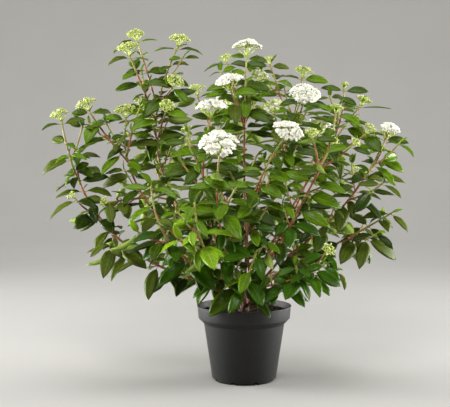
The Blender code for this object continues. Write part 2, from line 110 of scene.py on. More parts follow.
# %% [markdown]
# ## Colours and nodes
#
# A few helpers serve every finish. Colours are easiest to choose as they look on a screen, so they are
# written as sRGB hex values, and Blender wants them as amounts of light. A noise pattern's scale is how
# many features fit in a metre, so it is worked out from the size of one feature in millimetres. An input
# of a node either has a value of its own or follows another node's output. One helper deals with both.

# %% Helpers for finishes
def light_of(colour):
    """An sRGB hex value as red, green, blue and alpha in linear light, by the standard's own curve."""
    shares = [int(colour[place : place + 2], 16) / 255 for place in (1, 3, 5)]
    return [share / 12.92 if share <= 0.04045 else ((share + 0.055) / 1.055) ** 2.4 for share in shares] + [1]


def per_metre(millimetres):
    """The scale of a pattern whose features are this many millimetres across."""
    return 1 / (millimetres * MM)


def feed(finish, node, inputs):
    """Sets a node's inputs to these values, or links those whose value is another node's output."""
    for name, value in inputs.items():
        if isinstance(value, bpy.types.NodeSocket):
            finish.node_tree.links.new(value, node.inputs[name])
        else:
            node.inputs[name].default_value = value


def add_node(finish, kind, output, inputs, **settings):
    """Adds a shader node with its settings to a finish, feeds its inputs and gives one of its outputs."""
    made = finish.node_tree.nodes.new("ShaderNode" + kind)
    for name, value in settings.items():
        setattr(made, name, value)
    feed(finish, made, inputs)
    return made.outputs[output]


def shader_of(finish):
    return finish.node_tree.nodes["Principled BSDF"]


def start_finish(name, colour, roughness, **values):
    """A new material of this plain colour and roughness, and the places that its patterns follow."""
    made = bpy.data.materials.new(name)
    made.use_nodes = True
    values = {socket.replace("_", " "): value for socket, value in values.items()}
    feed(made, shader_of(made), {"Base Color": light_of(colour), "Roughness": roughness, **values})
    return made, add_node(made, "TexCoord", "Object", {})


def end_finish(finish, **inputs):
    """Links the patterns to the shader's inputs."""
    feed(finish, shader_of(finish), {socket.replace("_", " "): value for socket, value in inputs.items()})
    print(f"{finish.name}: {len(finish.node_tree.nodes)} nodes")


# %% [markdown]
# ## Floor and light
#
# The shrub was cut out of its photograph, so floor and light are a plain studio's: one pale sheet, round
# like a shallow bowl, whose floor rises in a wide curve to a wall on every side. No line shows where floor
# becomes wall, and the shrub can be looked at from all round.
#
# The pot tells where the lamps stood. Its left and right sides carry broad soft bands of light and its
# middle is nearly black, so there is a large soft box low on either side. Both are held within a spread, as
# a grid holds a real one, or they would draw bright patches on the floor. The leaves are brightest in front
# and on top, so a third hangs over the camera. The last two are for the room: a very large one high up
# lights the floor evenly, and a narrow one lifts the wall behind the shrub.

# %% Roll out the pale sheet
SHEET_REACH = 5.2
SHEET_HEIGHT = 3.4
SHEET_CURVE = 2.2
SHEET_SIDES = 96
CURVE_STEPS = 24


def select_only(piece, kind, passes):
    """Selects those of a mesh's edges or polygons that pass a test, and nothing else in it."""
    mesh = piece.data
    for part in (*mesh.vertices, *mesh.edges, *mesh.polygons):
        part.select = False
    for part in getattr(mesh, kind):
        part.select = passes(part)


def start_edit(mode):
    """Enters edit mode, with faces or edges as what is selected."""
    bpy.ops.object.mode_set(mode="EDIT")
    bpy.ops.mesh.select_mode(type=mode)


def end_edit(inside=False):
    """Turns all faces outwards, or inwards, and leaves edit mode."""
    bpy.ops.mesh.select_all(action="SELECT")
    bpy.ops.mesh.normals_make_consistent(inside=inside)
    bpy.ops.object.mode_set(mode="OBJECT")


deselect_all()
bpy.ops.mesh.primitive_cylinder_add(
    vertices=SHEET_SIDES, radius=SHEET_REACH, depth=SHEET_HEIGHT, location=(0, 0, SHEET_HEIGHT / 2)
)
sheet = bpy.context.object
sheet.name = "pale_sheet"
bpy.ops.object.transform_apply(location=True, rotation=True, scale=True)
select_only(sheet, "polygons", lambda face: face.center.z > SHEET_HEIGHT - MM)
start_edit("FACE")
bpy.ops.mesh.delete(type="ONLY_FACE")
bpy.ops.object.mode_set(mode="OBJECT")
select_only(sheet, "edges", lambda edge: all(sheet.data.vertices[end].co.z < MM for end in edge.vertices))
start_edit("EDGE")
bpy.ops.mesh.bevel(offset=SHEET_CURVE, segments=CURVE_STEPS, affect="EDGES")
end_edit(inside=True)
bpy.ops.object.shade_smooth()
sheet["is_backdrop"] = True
print("sheet:", len(sheet.data.polygons), "faces")

# %% Finish of the sheet
# Matt background paper: pale grey, so that white flowers stand out from it, with the faint cloudiness of its
# pulp. Real clouds are a few millimetres wide, but these are drawn 400 mm wide, so that they show.
paper, place = start_finish("matt_background_paper", "#999793", 0.9)
pulp = add_node(paper, "TexNoise", "Fac", {"Vector": place, "Scale": per_metre(400), "Detail": 4})
greys = {"Factor": pulp, "A": light_of("#969490"), "B": light_of("#9c9a96")}
end_finish(paper, Base_Color=add_node(paper, "Mix", "Result", greys, data_type="RGBA"))
sheet.data.materials.append(paper)

# %% Hang the lamps
# each one's name, its place and what it is turned to, its width and height, its power in watts and the angle
# within which its light is held
SOFT_BOXES = (
    ("box_over_camera", (-0.3, -1.9, 2.0), (0, 0, 0.4), 0.9, 0.7, 50, 180),
    ("box_left", (-2.4, 0.45, 0.5), (0, 0, 0.35), 2.2, 0.8, 44, 80),
    ("box_right", (2.4, 0.45, 0.5), (0, 0, 0.35), 2.2, 0.8, 40, 80),
    ("box_overhead", (0, 0.3, 8.0), (0, 0.3, 0), 6.0, 6.0, 500, 180),
    ("box_on_wall", (0, 1.8, 2.6), (0, 5, 0.4), 3.0, 0.6, 70, 180),
)
ROOM_COLOUR = "#d2d0cb"
ROOM_STRENGTH = 0.1

for name, place, aim, width, height, watts, spread in SOFT_BOXES:
    bpy.ops.object.light_add(type="AREA", location=place)
    lamp = bpy.context.object
    lamp.name = name
    lamp.rotation_euler = (Vector(aim) - Vector(place)).to_track_quat("-Z", "Y").to_euler()
    lamp.data.shape = "RECTANGLE"
    lamp.data.size = width
    lamp.data.size_y = height
    lamp.data.energy = watts
    lamp.data.spread = math.radians(spread)

room = bpy.data.worlds.new("studio_room")
room.use_nodes = True
room.node_tree.nodes["Background"].inputs["Color"].default_value = light_of(ROOM_COLOUR)
room.node_tree.nodes["Background"].inputs["Strength"].default_value = ROOM_STRENGTH
bpy.context.scene.world = room
bpy.context.scene.view_settings.view_transform = "Standard"

# %% [markdown]
# ## The pot
#
# A nursery pot is moulded in one shot from black polypropylene: a thin tapering wall, a deep collar that
# makes it stiff and lets pots stack, a small lip, and a foot ring with notches that let water out. It could
# be turned from a profile with Spin. Here one disc is pulled up step by step instead, up the outside, over
# the lip and down the inside, because that is how the wall is read off the photograph. The edges that a mould
# leaves slightly round are bevelled, and then the notches are cut.

# %% Pull the pot up from a disc
POT_SIDES = 128
# radius and height of each ring in millimetres, from the underside up the outside, over the lip and down the
# inside, and whether the mould leaves its edge round
POT_RINGS = (
    (59.5, 0, True),
    (61, 6, True),
    (64.9, 6, True),
    (81.2, 115.5, True),
    (92.2, 126, True),
    (94, 148.5, False),
    (95, 149, True),
    (95, 151, True),
    (91.8, 151, True),
    (90.2, 127, False),
    (79.2, 116.5, False),
    (62.7, 9, False),
    (57, 3.5, False),
)


def pull_up(rings):
    """Extrudes the selected disc to each ring's radius and height in turn, from the first one."""
    mesh = bpy.context.edit_object.data
    mesh.update()
    radius, height = rings[0]
    for next_radius, next_height in rings[1:]:
        rise = (next_height - height) * MM
        bpy.ops.mesh.extrude_region_move(TRANSFORM_OT_translate={"value": (0, 0, rise)})
        share = next_radius / radius
        bpy.ops.transform.resize(value=(share, share, 1), center_override=(0, 0, next_height * MM))
        radius, height = next_radius, next_height


deselect_all()
bpy.ops.mesh.primitive_circle_add(vertices=POT_SIDES, radius=POT_RINGS[0][0] * MM, fill_type="NGON")
pot = bpy.context.object
pot.name = "moulded_pot"
bpy.ops.object.mode_set(mode="EDIT")
bpy.ops.mesh.select_all(action="SELECT")
pull_up([(radius, height) for radius, height, _ in POT_RINGS])
end_edit()
print("pot:", len(pot.data.polygons), "faces, height", round(pot.dimensions.z, 4))

# %% Round the moulded edges
POT_ROUND = 0.6 * MM
SELECT_WITHIN = 0.1 * MM


def select_rings(piece, rings):
    """Selects the edges that run round the piece at these radii and heights, in millimetres."""

    def lies_on_ring(edge):
        ends = [piece.data.vertices[end].co for end in edge.vertices]
        return any(
            all(math.hypot(end.xy.length - radius * MM, end.z - height * MM) < SELECT_WITHIN for end in ends)
            for radius, height in rings
        )

    select_only(piece, "edges", lies_on_ring)


select_rings(pot, [(radius, height) for radius, height, rounded in POT_RINGS if rounded])
start_edit("EDGE")
bpy.ops.mesh.bevel(offset=POT_ROUND, segments=2, affect="EDGES", clamp_overlap=True)
bpy.ops.object.mode_set(mode="OBJECT")
print("pot after bevels:", len(pot.data.polygons), "faces")

# %% Cut the drain notches
NOTCHES = 8
NOTCH_AWAY = 60.5 * MM
NOTCH_SIZE = (16 * MM, 9 * MM, 10 * MM)
NOTCH_ROUND = 1.2 * MM
SMOOTH_UNDER = 32  # degrees


def apply_modifier(kind, **settings):
    """Adds a modifier with these settings to the active piece and applies it."""
    bpy.ops.object.modifier_add(type=kind)
    made = bpy.context.object.modifiers[-1]
    for name, value in settings.items():
        setattr(made, name, value)
    bpy.ops.object.modifier_apply(modifier=made.name)


deselect_all()
for turn in range(NOTCHES):
    angle = math.tau * (turn + 0.5) / NOTCHES
    middle = on_circle(NOTCH_AWAY, angle)
    bpy.ops.mesh.primitive_cube_add(size=1, location=middle, rotation=(0, 0, angle), scale=NOTCH_SIZE)
    cutter = bpy.context.object
    bpy.ops.object.transform_apply(location=True, rotation=True, scale=True)
    apply_modifier("BEVEL", width=NOTCH_ROUND, segments=3)
    deselect_all()
    pot.select_set(True)
    bpy.context.view_layer.objects.active = pot
    apply_modifier("BOOLEAN", object=cutter, operation="DIFFERENCE", solver="EXACT")
    bpy.data.objects.remove(cutter)
bpy.ops.object.shade_smooth_by_angle(angle=math.radians(SMOOTH_UNDER))
print("pot with notches:", len(pot.data.polygons), "faces")

# %% Finish of the pot
# Black polypropylene, moulded and satin: nearly black in itself, grey where a soft box's broad reflection
# lies on it. The mould's orange-peel skin is under a millimetre fine and softens that reflection. Handling
# leaves duller scuffs, a fingertip or 14 mm wide, and dry compost a faint brown dust in patches of 5 mm.
plastic, place = start_finish("moulded_polypropylene", "#060606", 0.5, IOR=1.49, Specular_IOR_Level=0.38)
blotches = {"Vector": place, "Scale": per_metre(14), "Detail": 6, "Roughness": 0.65}
scuffs = add_node(plastic, "TexNoise", "Fac", blotches)
sheen = {"Value": scuffs, "From Min": 0.35, "From Max": 0.7, "To Min": 0.48, "To Max": 0.6}
specks = {"Vector": place, "Scale": per_metre(5), "Detail": 8, "Roughness": 0.7}
dust = add_node(plastic, "TexNoise", "Fac", specks)
haze = {"Value": dust, "From Min": 0.56, "From Max": 0.78, "To Max": 0.35}
dusty = add_node(plastic, "MapRange", "Result", haze)
tones = {"Factor": dusty, "A": light_of("#070707"), "B": light_of("#1e1b18")}
peel = add_node(plastic, "TexNoise", "Fac", {"Vector": place, "Scale": per_metre(0.9), "Detail": 2})
skin = {"Height": peel, "Strength": 0.12, "Distance": 0.1 * MM}
end_finish(
    plastic,
    Base_Color=add_node(plastic, "Mix", "Result", tones, data_type="RGBA"),
    Roughness=add_node(plastic, "MapRange", "Result", sheen),
    Normal=add_node(plastic, "Bump", "Normal", skin),
)
pot.data.materials.append(plastic)
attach(pot, "root")
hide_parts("pot")

# %% [markdown]
# ## Compost
#
# The pot is full of dark peat compost to a little under its rim. Its top is lumpy: crumbs from one to
# five millimetres on larger swells. The fill is pulled up inside the pot like the pot itself, half a
# millimetre clear of it. Its top is filled with a fine grid, and two Displace modifiers raise the swells
# and the lumps. Loose crumbs then lie on it.

# %% Fill the pot
COMPOST_SIDES = 96
COMPOST_RINGS = ((56.5, 4), (62.1, 9.3), (78.6, 117), (89.6, 127.6), (90.2, 139))
COMPOST_EDGE, COMPOST_TOP = (size * MM for size in COMPOST_RINGS[-1])

radius, height = COMPOST_RINGS[0]
deselect_all()
bpy.ops.mesh.primitive_circle_add(
    vertices=COMPOST_SIDES, radius=radius * MM, fill_type="NGON", location=(0, 0, height * MM)
)
compost = bpy.context.object
compost.name = "peat_fill"
bpy.ops.object.transform_apply(location=True)
bpy.ops.object.mode_set(mode="EDIT")
bpy.ops.mesh.select_all(action="SELECT")
pull_up(COMPOST_RINGS)
bpy.ops.mesh.select_mode(type="FACE")
bpy.ops.mesh.delete(type="ONLY_FACE")
bpy.ops.object.mode_set(mode="OBJECT")
select_rings(compost, COMPOST_RINGS[-1:])
start_edit("EDGE")
bpy.ops.mesh.fill_grid(span=COMPOST_SIDES // 4)
bpy.ops.mesh.subdivide(number_cuts=1)
end_edit()
print("compost:", len(compost.data.polygons), "faces")

# %% Raise its swells and lumps
EDGE_FADE = 3 * MM
SWELLS = (("swells", 22 * MM, 3.4 * MM), ("lumps", 5 * MM, 2.2 * MM))  # each kind's width and rise
SWELL_LEVEL = 0.55
ON_EDGE = 0.01  # of the fade: points nearer to the edge than this stay where they are

top = compost.vertex_groups.new(name="top")
for point in compost.data.vertices:
    inside = (COMPOST_EDGE - point.co.xy.length) / EDGE_FADE
    if point.co.z > COMPOST_TOP - SELECT_WITHIN and inside > ON_EDGE:
        top.add([point.index], min(1, inside), "REPLACE")
for name, across, rise in SWELLS:
    pattern = bpy.data.textures.new(name, "CLOUDS")
    pattern.noise_scale = across
    upwards = {"texture_coords": "LOCAL", "direction": "Z", "vertex_group": "top", "mid_level": SWELL_LEVEL}
    apply_modifier("DISPLACE", texture=pattern, strength=rise, **upwards)
bpy.ops.object.shade_smooth()
print("compost reaches", round(1000 * max(point.co.z for point in compost.data.vertices), 1), "mm up")


# %% Finish of the compost
def grained_finish(name, colour, roughness, tones, across, detail, fineness, strength, depth, upright=1):
    """A rough matt material: tones at their places along one noise, which is its relief too."""
    made, place = start_finish(name, colour, roughness)
    long = add_node(made, "Mapping", "Vector", {"Vector": place, "Scale": (1, 1, upright)})
    grains = {"Vector": long, "Scale": per_metre(across), "Detail": detail, "Roughness": fineness}
    grain = add_node(made, "TexNoise", "Fac", grains)
    tone = add_node(made, "ValToRGB", "Color", {"Fac": grain})
    stops = tone.node.color_ramp.elements
    for end in (0, -1):
        stops[end].position = tones[end][0]
        stops[end].color = light_of(tones[end][1])
    for spot, colour in tones[1:-1]:
        stops.new(spot).color = light_of(colour)
    relief = {"Height": grain, "Strength": strength, "Distance": depth * MM}
    end_finish(made, Base_Color=tone, Normal=add_node(made, "Bump", "Normal", relief))
    return made


# Moist peat with bark fines: very dark brown with paler, redder specks of 3 to 4 mm, wholly matt.
peat_tones = ((0.36, "#160e08"), (0.68, "#57381f"))
peat = grained_finish(
    "peat_compost", "#22160d", 0.96, peat_tones, across=3.5, detail=9, fineness=0.75, strength=0.8, depth=1
)
compost.data.materials.append(peat)
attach(compost, "root")
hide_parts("compost")

# %% [markdown]
# ## Many small things in one mesh
#
# Crumbs, shoots, leaves, petals and buds number thousands. As objects they would be slow, and particles don't
# survive an export, so each kind is gathered in a heap of points and faces and then made one mesh. Each face
# can name one of the mesh's finishes, and each point has a place on a flat pattern, along and across its
# leaf. A mesh whose faces all point outwards encloses more than nothing, so its volume is printed as a test.

# %% A heap of points and faces
class Heap:
    """Gathers points, faces and pattern places of many small things, and makes them one mesh."""

    def __init__(self, name):
        self.name = name
        self.things = 0
        self.points = []
        self.faces = []
        self.finishes = []
        self.places = []

    def add(self, points, faces, finishes=None, places=None):
        start = len(self.points)
        self.things += 1
        self.points.extend(points)
        self.faces.extend(tuple(start + corner for corner in face) for face in faces)
        self.finishes.extend(finishes or [0] * len(faces))
        self.places.extend(places or [(0.5, 0.5)] * len(points))

    def make(self, finishes, slot, replaced):
        mesh = bpy.data.meshes.new(self.name)
        mesh.from_pydata([tuple(point) for point in self.points], [], self.faces)
        for finish in finishes:
            mesh.materials.append(finish)
        mesh.polygons.foreach_set("material_index", self.finishes)
        mesh.polygons.foreach_set("use_smooth", [True] * len(self.faces))
        corners = np.empty(len(mesh.loops), dtype=np.int32)
        mesh.loops.foreach_get("vertex_index", corners)
        pattern = mesh.uv_layers.new(name="pattern")
        pattern.uv.foreach_set("vector", np.array(self.places, dtype=np.float32)[corners].ravel())
        piece = bpy.data.objects.new(self.name, mesh)
        bpy.context.scene.collection.objects.link(piece)
        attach(piece, "root")
        if replaced:
            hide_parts(*replaced)
        mesh.calc_loop_triangles()
        triangles = len(mesh.loop_triangles)
        print(f"{self.name}: {self.things} things, {triangles} triangles, {volume_of(mesh):.1f} cm3")


def volume_of(mesh):
    """The volume that the mesh encloses in cubic centimetres, below nought if its faces point inwards."""
    points = np.array([point.co for point in mesh.vertices])
    corners = np.array([triangle.vertices for triangle in mesh.loop_triangles])
    first, second, third = (points[corners[:, corner]] for corner in range(3))
    return float(np.einsum("ij,ij->i", first, np.cross(second, third)).sum()) / 6 * 1e6


def skin_of(piece):
    """The points and faces of a modelled piece."""
    return [point.co for point in piece.data.vertices], [tuple(face.vertices) for face in piece.data.polygons]


# %% Crumbs on the compost
# Each crumb is an eight-sided stone whose six corners are pushed in or out.
CRUMBS = 900
CRUMB_REACH = 86 * MM
CRUMB_SIZES = (0.9 * MM, 3.0 * MM)
CRUMB_GRADES = (0.6, 1)
CRUMB_FLATNESS = (0.6, 1.3)
CRUMB_LIFT = 0.35  # of its size, how far a crumb's middle is above the compost
CRUMB_FACES = ((0, 2, 4), (2, 1, 4), (1, 3, 4), (3, 0, 4), (2, 0, 5), (1, 2, 5), (3, 1, 5), (0, 3, 5))
CRUMB_CORNERS = ((1, 0, 0), (-1, 0, 0), (0, 1, 0), (0, -1, 0), (0, 0, 1), (0, 0, -1))
DROP_FROM = 0.2

ground = BVHTree.FromPolygons(*skin_of(compost))
crumbs = Heap("loose_crumbs")
chance = random.Random("crumbs")
for _ in range(CRUMBS):
    away = CRUMB_REACH * math.sqrt(chance.random())
    angle = chance.uniform(0, math.tau)
    spot = ground.ray_cast(on_circle(away, angle, DROP_FROM), -UP)[0]
    size = chance.uniform(*CRUMB_SIZES) * chance.uniform(*CRUMB_GRADES)
    turn = Matrix.Rotation(chance.uniform(0, math.tau), 3, Vector([chance.gauss(0, 1) for _ in range(3)]))
    shape = [Vector(corner) * size * chance.uniform(*CRUMB_FLATNESS) for corner in CRUMB_CORNERS]
    crumbs.add([spot + CRUMB_LIFT * size * UP + turn @ corner for corner in shape], CRUMB_FACES)
crumbs.make([peat], "compost", ())

# %% [markdown]
# ## The lines of the shrub
#
# The solid model was grown from a table, which is written again here. Each row is one bough: where its
# foliage begins, the middle of its leading shoot and that shoot's tip, in millimetres to the right, back
# and up, and the width of the flower head at the tip. Then come its side shoots: how far up the leading
# shoot each one forks off, its tip and its head. Each shoot follows a smooth quadratic curve. The tips of
# front and front_right sit 12 to 14 mm higher than the solid ones, where the photograph has their heads.

# %% Table of the boughs
BOUGHS = {
    "far_left": ((-95, -10, 205), (-275, -15, 312), (-365, -20, 528), 38,
                 ((0.55, (-336, -45, 372), 20), (0.36, (-262, -95, 285), 0), (0.72, (-340, 45, 452), 0))),
    "left": ((-70, 5, 232), (-208, 0, 380), (-238, 0, 536), 46,
             ((0.70, (-314, -5, 549), 42), (0.74, (-212, 62, 558), 34), (0.46, (-272, -50, 362), 24))),
    "left_tall": ((-52, 35, 252), (-176, 60, 450), (-133, 50, 682), 44,
                  ((0.66, (-236, 50, 664), 48), (0.72, (-226, 112, 700), 38), (0.74, (-140, 0, 596), 38),
                   (0.56, (-153, -30, 546), 34))),
    "left_front": ((-46, -36, 212), (-140, -118, 285), (-176, -150, 398), 0, ((0.5, (-200, -140, 310), 0),)),
    "centre_left": ((-28, -42, 225), (-78, -80, 375), (-66, -72, 538), 62,
                    ((0.52, (-118, -98, 436), 0), (0.62, (-112, -40, 500), 24))),
    "front": ((-16, -52, 213), (-50, -125, 335), (-49, -166, 469), 70, ((0.5, (-20, -175, 392), 0),)),
    "young_front": ((-34, -62, 206), (-78, -140, 282), (-94, -186, 368), 0, ((0.45, (-118, -170, 300), 0),)),
    "centre_tall": ((4, 8, 255), (0, 5, 470), (5, 20, 664), 58,
                    ((0.60, (-30, -18, 592), 60), (0.62, (-36, 88, 650), 26), (0.64, (32, 66, 610), 40))),
    "centre_right": ((26, 42, 250), (84, 75, 450), (123, 82, 620), 38,
                     ((0.62, (54, 110, 648), 24), (0.50, (58, 10, 546), 44), (0.60, (117, -36, 566), 62))),
    "front_right": ((10, -54, 222), (12, -108, 360), (76, -142, 494), 60, ((0.55, (36, -150, 420), 0),)),
    "right_front": ((42, -48, 235), (112, -110, 372), (162, -132, 476), 26,
                    ((0.72, (122, -150, 492), 26), (0.76, (200, -150, 476), 22),
                     (0.66, (176, -70, 540), 28))),
    "right_up": ((50, 18, 262), (150, 45, 430), (242, 50, 560), 34,
                 ((0.66, (208, 78, 594), 20), (0.56, (248, 0, 500), 34), (0.45, (158, 120, 500), 30))),
    "right": ((66, -10, 238), (196, -22, 352), (286, -22, 502), 40,
              ((0.72, (292, 52, 492), 34), (0.55, (262, -92, 400), 0))),
    "far_right": ((70, 12, 214), (205, 8, 284), (298, 2, 338), 0,
                  ((0.5, (254, -66, 300), 0), (0.5, (250, 84, 306), 0))),
    "low_right": ((40, -46, 196), (105, -118, 226), (150, -165, 278), 26, ((0.5, (168, -96, 232), 0),)),
    "low_front": ((-2, -48, 190), (2, -105, 215), (18, -162, 272), 0, ()),
    "back_left": ((-52, 52, 236), (-165, 150, 370), (-206, 192, 520), 42,
                  ((0.60, (-132, 236, 478), 36), (0.45, (-255, 170, 384), 0))),
    "back": ((-8, 56, 246), (-38, 160, 400), (-30, 218, 570), 60,
             ((0.62, (-102, 196, 590), 40), (0.60, (44, 212, 600), 38))),
    "back_right": ((44, 52, 236), (126, 150, 366), (168, 198, 510), 56,
                   ((0.60, (98, 246, 462), 34), (0.50, (238, 152, 420), 26))),
    "back_low_left": ((-44, 44, 200), (-135, 162, 240), (-172, 228, 328), 0, ((0.5, (-96, 244, 286), 0),)),
    "back_low_right": ((44, 44, 200), (124, 152, 236), (172, 224, 318), 0, ((0.5, (88, 238, 284), 0),)),
}
OPEN_HEADS = {
    ("centre_tall", "leader"), ("centre_tall", 0), ("centre_left", "leader"), ("front", "leader"),
    ("front_right", "leader"), ("centre_right", 2), ("right", "leader"), ("back", "leader"),
    ("back_right", "leader"),
}
OPENING_HEADS = {("centre_tall", 2), ("centre_right", 1), ("back_left", "leader")}
print("boughs:", len(BOUGHS), "open heads:", len(OPEN_HEADS), "opening heads:", len(OPENING_HEADS))


# %% The line of a limb
class Line:
    """The line of one limb: it starts, bows through its middle and ends at its tip."""

    def __init__(self, start, middle, tip):
        self.start = start
        self.tip = tip
        self.pull = 2 * middle - (start + tip) / 2
        self.length = (middle - start).length + (tip - middle).length

    def at(self, share):
        rest = 1 - share
        return rest * rest * self.start + 2 * share * rest * self.pull + share * share * self.tip

    def along(self, share):
        return ((1 - share) * (self.pull - self.start) + share * (self.tip - self.pull)).normalized()


# %% Shoots and their heads
HEAD_MIDDLE = 0.2  # of its width, how far a head's middle is beyond the end of its shoot's wood
HEAD_UPRIGHT = 570 * MM
HEAD_TURNING = 110 * MM
HEAD_SIDEWAYS = 0.4
HEAD_RISE = 0.35


def head_axis(tip, along, turned):
    """Which way a flower head faces: up its shoot, and the lower it is, the more it faces front or back."""
    lean = min(1, max(0, (HEAD_UPRIGHT - tip.z) / HEAD_TURNING))
    out = tip.xy.to_3d().normalized()
    return (
        along + lean * Vector((HEAD_SIDEWAYS * out.x, out.y, 0)) + Vector(turned) + HEAD_RISE * UP
    ).normalized()


class Shoot:
    """One shoot: its line, its radius where it starts, and the width of the flower head at its tip, or 0."""

    def __init__(self, key, start, middle, tip, radius, width, turned=(0, 0, 0)):
        self.key = key
        self.radius = radius
        self.width = width
        self.axis = head_axis(tip, (tip - middle).normalized(), turned)
        self.line = Line(start, middle, tip - HEAD_MIDDLE * width * self.axis)


# %% Masses of foliage
SHOOT_RADIUS = 2.6 * MM
SIDE_RADIUS = 2.1 * MM
SIDE_BOW = 0.1
HEAD_LEANS = {"right": (-0.5, -0.8, 0)}  # its leading head turns up and to the front, as photographed


class Mass:
    """One bough's foliage: its leading shoot and its side shoots."""

    def __init__(self, name, row):
        *places, width, sides = row
        self.name = name
        places = [MM * Vector(place) for place in places]
        leader = Shoot("leader", *places, SHOOT_RADIUS, MM * width, HEAD_LEANS.get(name, (0, 0, 0)))
        self.shoots = [leader]
        self.begin = leader.line.start
        self.way = leader.line.along(0)
        for number, (share, side_tip, side_width) in enumerate(sides):
            side_tip = MM * Vector(side_tip)
            fork = leader.line.at(share)
            reach = (side_tip - fork).length
            middle = 0.5 * (fork + side_tip) + SIDE_BOW * reach * (leader.line.along(share) - UP)
            self.shoots.append(Shoot(number, fork, middle, side_tip, SIDE_RADIUS, MM * side_width))


masses = [Mass(name, row) for name, row in BOUGHS.items()]
print("shoots in the table:", sum(len(mass.shoots) for mass in masses))

# %% [markdown]
# ## Wood: the foot and the boughs
#
# All boughs spring from one short woody foot. Its bark is thin and brown with fine ridges along the limb. A
# bump map could draw them, but the outline would stay smooth, so the mesh itself carries that relief: every
# ring of a limb is pushed in and out by a noise that is stretched along the limb. The solid boughs touch the
# foot nowhere, so that they can be separate parts. Here each one starts inside the foot and swells into a
# collar, as a real one grows.

# %% A round limb
def ring_faces(rings, sides):
    """Faces that join equal rings of points into one closed skin."""
    faces = [tuple(reversed(range(sides))), tuple(range((rings - 1) * sides, rings * sides))]
    for ring in range(rings - 1):
        for corner in range(sides):
            beside = (corner + 1) % sides
            low, high = ring * sides, (ring + 1) * sides
            faces.append((low + corner, low + beside, high + beside, high + corner))
    return faces


def tube(points, radii, sides, relief=None):
    """Points and faces of a round limb through these points, closed at both ends."""
    skin = []
    side = None
    for ring, point in enumerate(points):
        ahead = (points[min(ring + 1, len(points) - 1)] - points[max(ring - 1, 0)]).normalized()
        side = ahead.orthogonal() if side is None else side - side.dot(ahead) * ahead
        side.normalize()
        other = ahead.cross(side)
        for corner in range(sides):
            angle = math.tau * corner / sides
            out = math.cos(angle) * side + math.sin(angle) * other
            push = relief(angle, ring, radii[ring]) if relief else 0
            skin.append(point + (radii[ring] + push) * out)
    return skin, ring_faces(len(points), sides)


# %% The relief of the bark
RIDGE_WIDTH = 1.6 * MM
RIDGE_LENGTH = 9 * MM
CRACK_LENGTH = 2.2 * MM
CRACK_FINENESS = 2.6
CRACK_DEPTH = 0.45  # of a ridge's height
CRACK_SEED = 7


def bark_relief(seed, ridge, step):
    """A push in or out for each point of a limb: long ridges, and fine cross cracks."""

    def push(angle, ring, radius):
        around = on_circle(1, angle) * radius / RIDGE_WIDTH
        ridges = noise(around + Vector((seed, 0, ring * step / RIDGE_LENGTH)))
        cracks = noise(CRACK_FINENESS * around + Vector((seed, CRACK_SEED, ring * step / CRACK_LENGTH)))
        return ridge * (ridges + CRACK_DEPTH * cracks)

    return push


# %% The foot
FOOT_RADIUS = 8.5 * MM
FOOT_FLARE = 13.5 * MM
FOOT_TOP_RADIUS = 6.5 * MM
FOOT_START = Vector((0, 0, COMPOST_TOP))
FOOT_RISE = Vector((2, 3, 58)) * MM
FOOT_SUNK = 3 * MM
FOOT_SIDES = 40
FOOT_RINGS = 52
FOOT_RIDGE = 0.7 * MM
FOOT_SEED = 3
FLARED_TO = 0.16  # shares of the foot's height
ROUNDED_FROM = 0.93
BLUNT_END = 0.02

wood = Heap("bark_wood")
foot_points = []
foot_radii = []
for ring in range(FOOT_RINGS + 1):
    share = ring / FOOT_RINGS
    flare = (FOOT_FLARE - FOOT_RADIUS) * max(0, 1 - share / FLARED_TO) ** 2
    over = max(0, share - ROUNDED_FROM) / (1 - ROUNDED_FROM)
    rounding = math.sqrt(max(BLUNT_END, 1 - over**2))
    foot_points.append(FOOT_START + share * FOOT_RISE)
    foot_radii.append((FOOT_RADIUS + share * (FOOT_TOP_RADIUS - FOOT_RADIUS) + flare) * rounding)
foot_points[0] -= FOOT_SUNK * UP
foot_relief = bark_relief(FOOT_SEED, FOOT_RIDGE, FOOT_RISE.z / FOOT_RINGS)
points, faces = tube(foot_points, foot_radii, FOOT_SIDES, foot_relief)
# The foot's faces take the second finish, the darker bark that is painted shade from the crown above.
wood.add(points, faces, [1] * len(faces))
print("foot:", len(points), "points")

# %% The lines of the boughs
SOLID_SIDES = 6
BOUGH_OUT = 0.35
BOUGH_IN = 0.4
FOOT_MIDDLE = FOOT_START + 0.5 * FOOT_RISE
SAME_TO = 5  # decimals of a metre to which corners of the solid's loose triangles are one point


def bough_root(name):
    """The middle of a solid bough's lowest ring, and the way out of the foot there, square to that ring."""
    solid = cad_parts[name].data
    points = {tuple(round(number, SAME_TO) for number in point.co) for point in solid.vertices}
    nearest = sorted((Vector(point) for point in points), key=lambda point: (point - FOOT_MIDDLE).length)
    ring = np.array(nearest[:SOLID_SIDES])
    middle = Vector(ring.mean(axis=0))
    _, _, ways = np.linalg.svd(ring - ring.mean(axis=0))
    out = Vector(ways[2])
    if out.dot(middle - FOOT_MIDDLE) < 0:
        out = -out
    return middle, out


def bough_line(mass):
    """A bough's line into its leading shoot, by the same rule as the solid one's, and its way out."""
    root, out = bough_root(f"bough_{mass.name}")
    reach = (mass.begin - root).length
    pull = 0.5 * (root + BOUGH_OUT * reach * out + mass.begin - BOUGH_IN * reach * mass.way)
    middle = 0.25 * root + 0.5 * pull + 0.25 * mass.begin
    return Line(root, middle, mass.begin), out


# %% The boughs
BOUGH_RADIUS = 2.8 * MM
BOUGH_STEP = 3.2 * MM
BOUGH_SIDES = 14
BOUGH_RIDGE = 0.28 * MM
SEED_STEP = 11
ROOT_DEPTHS = (3.5 * MM, 1.5 * MM)  # how deep in the foot each bough's first two rings lie
ROOT_COLLAR = 0.5 * MM
COLLAR = 1.5 * MM
COLLAR_RINGS = 4
SHOOT_SHARES = (0.006, 0.012)  # how far up the leading shoot its last two rings lie


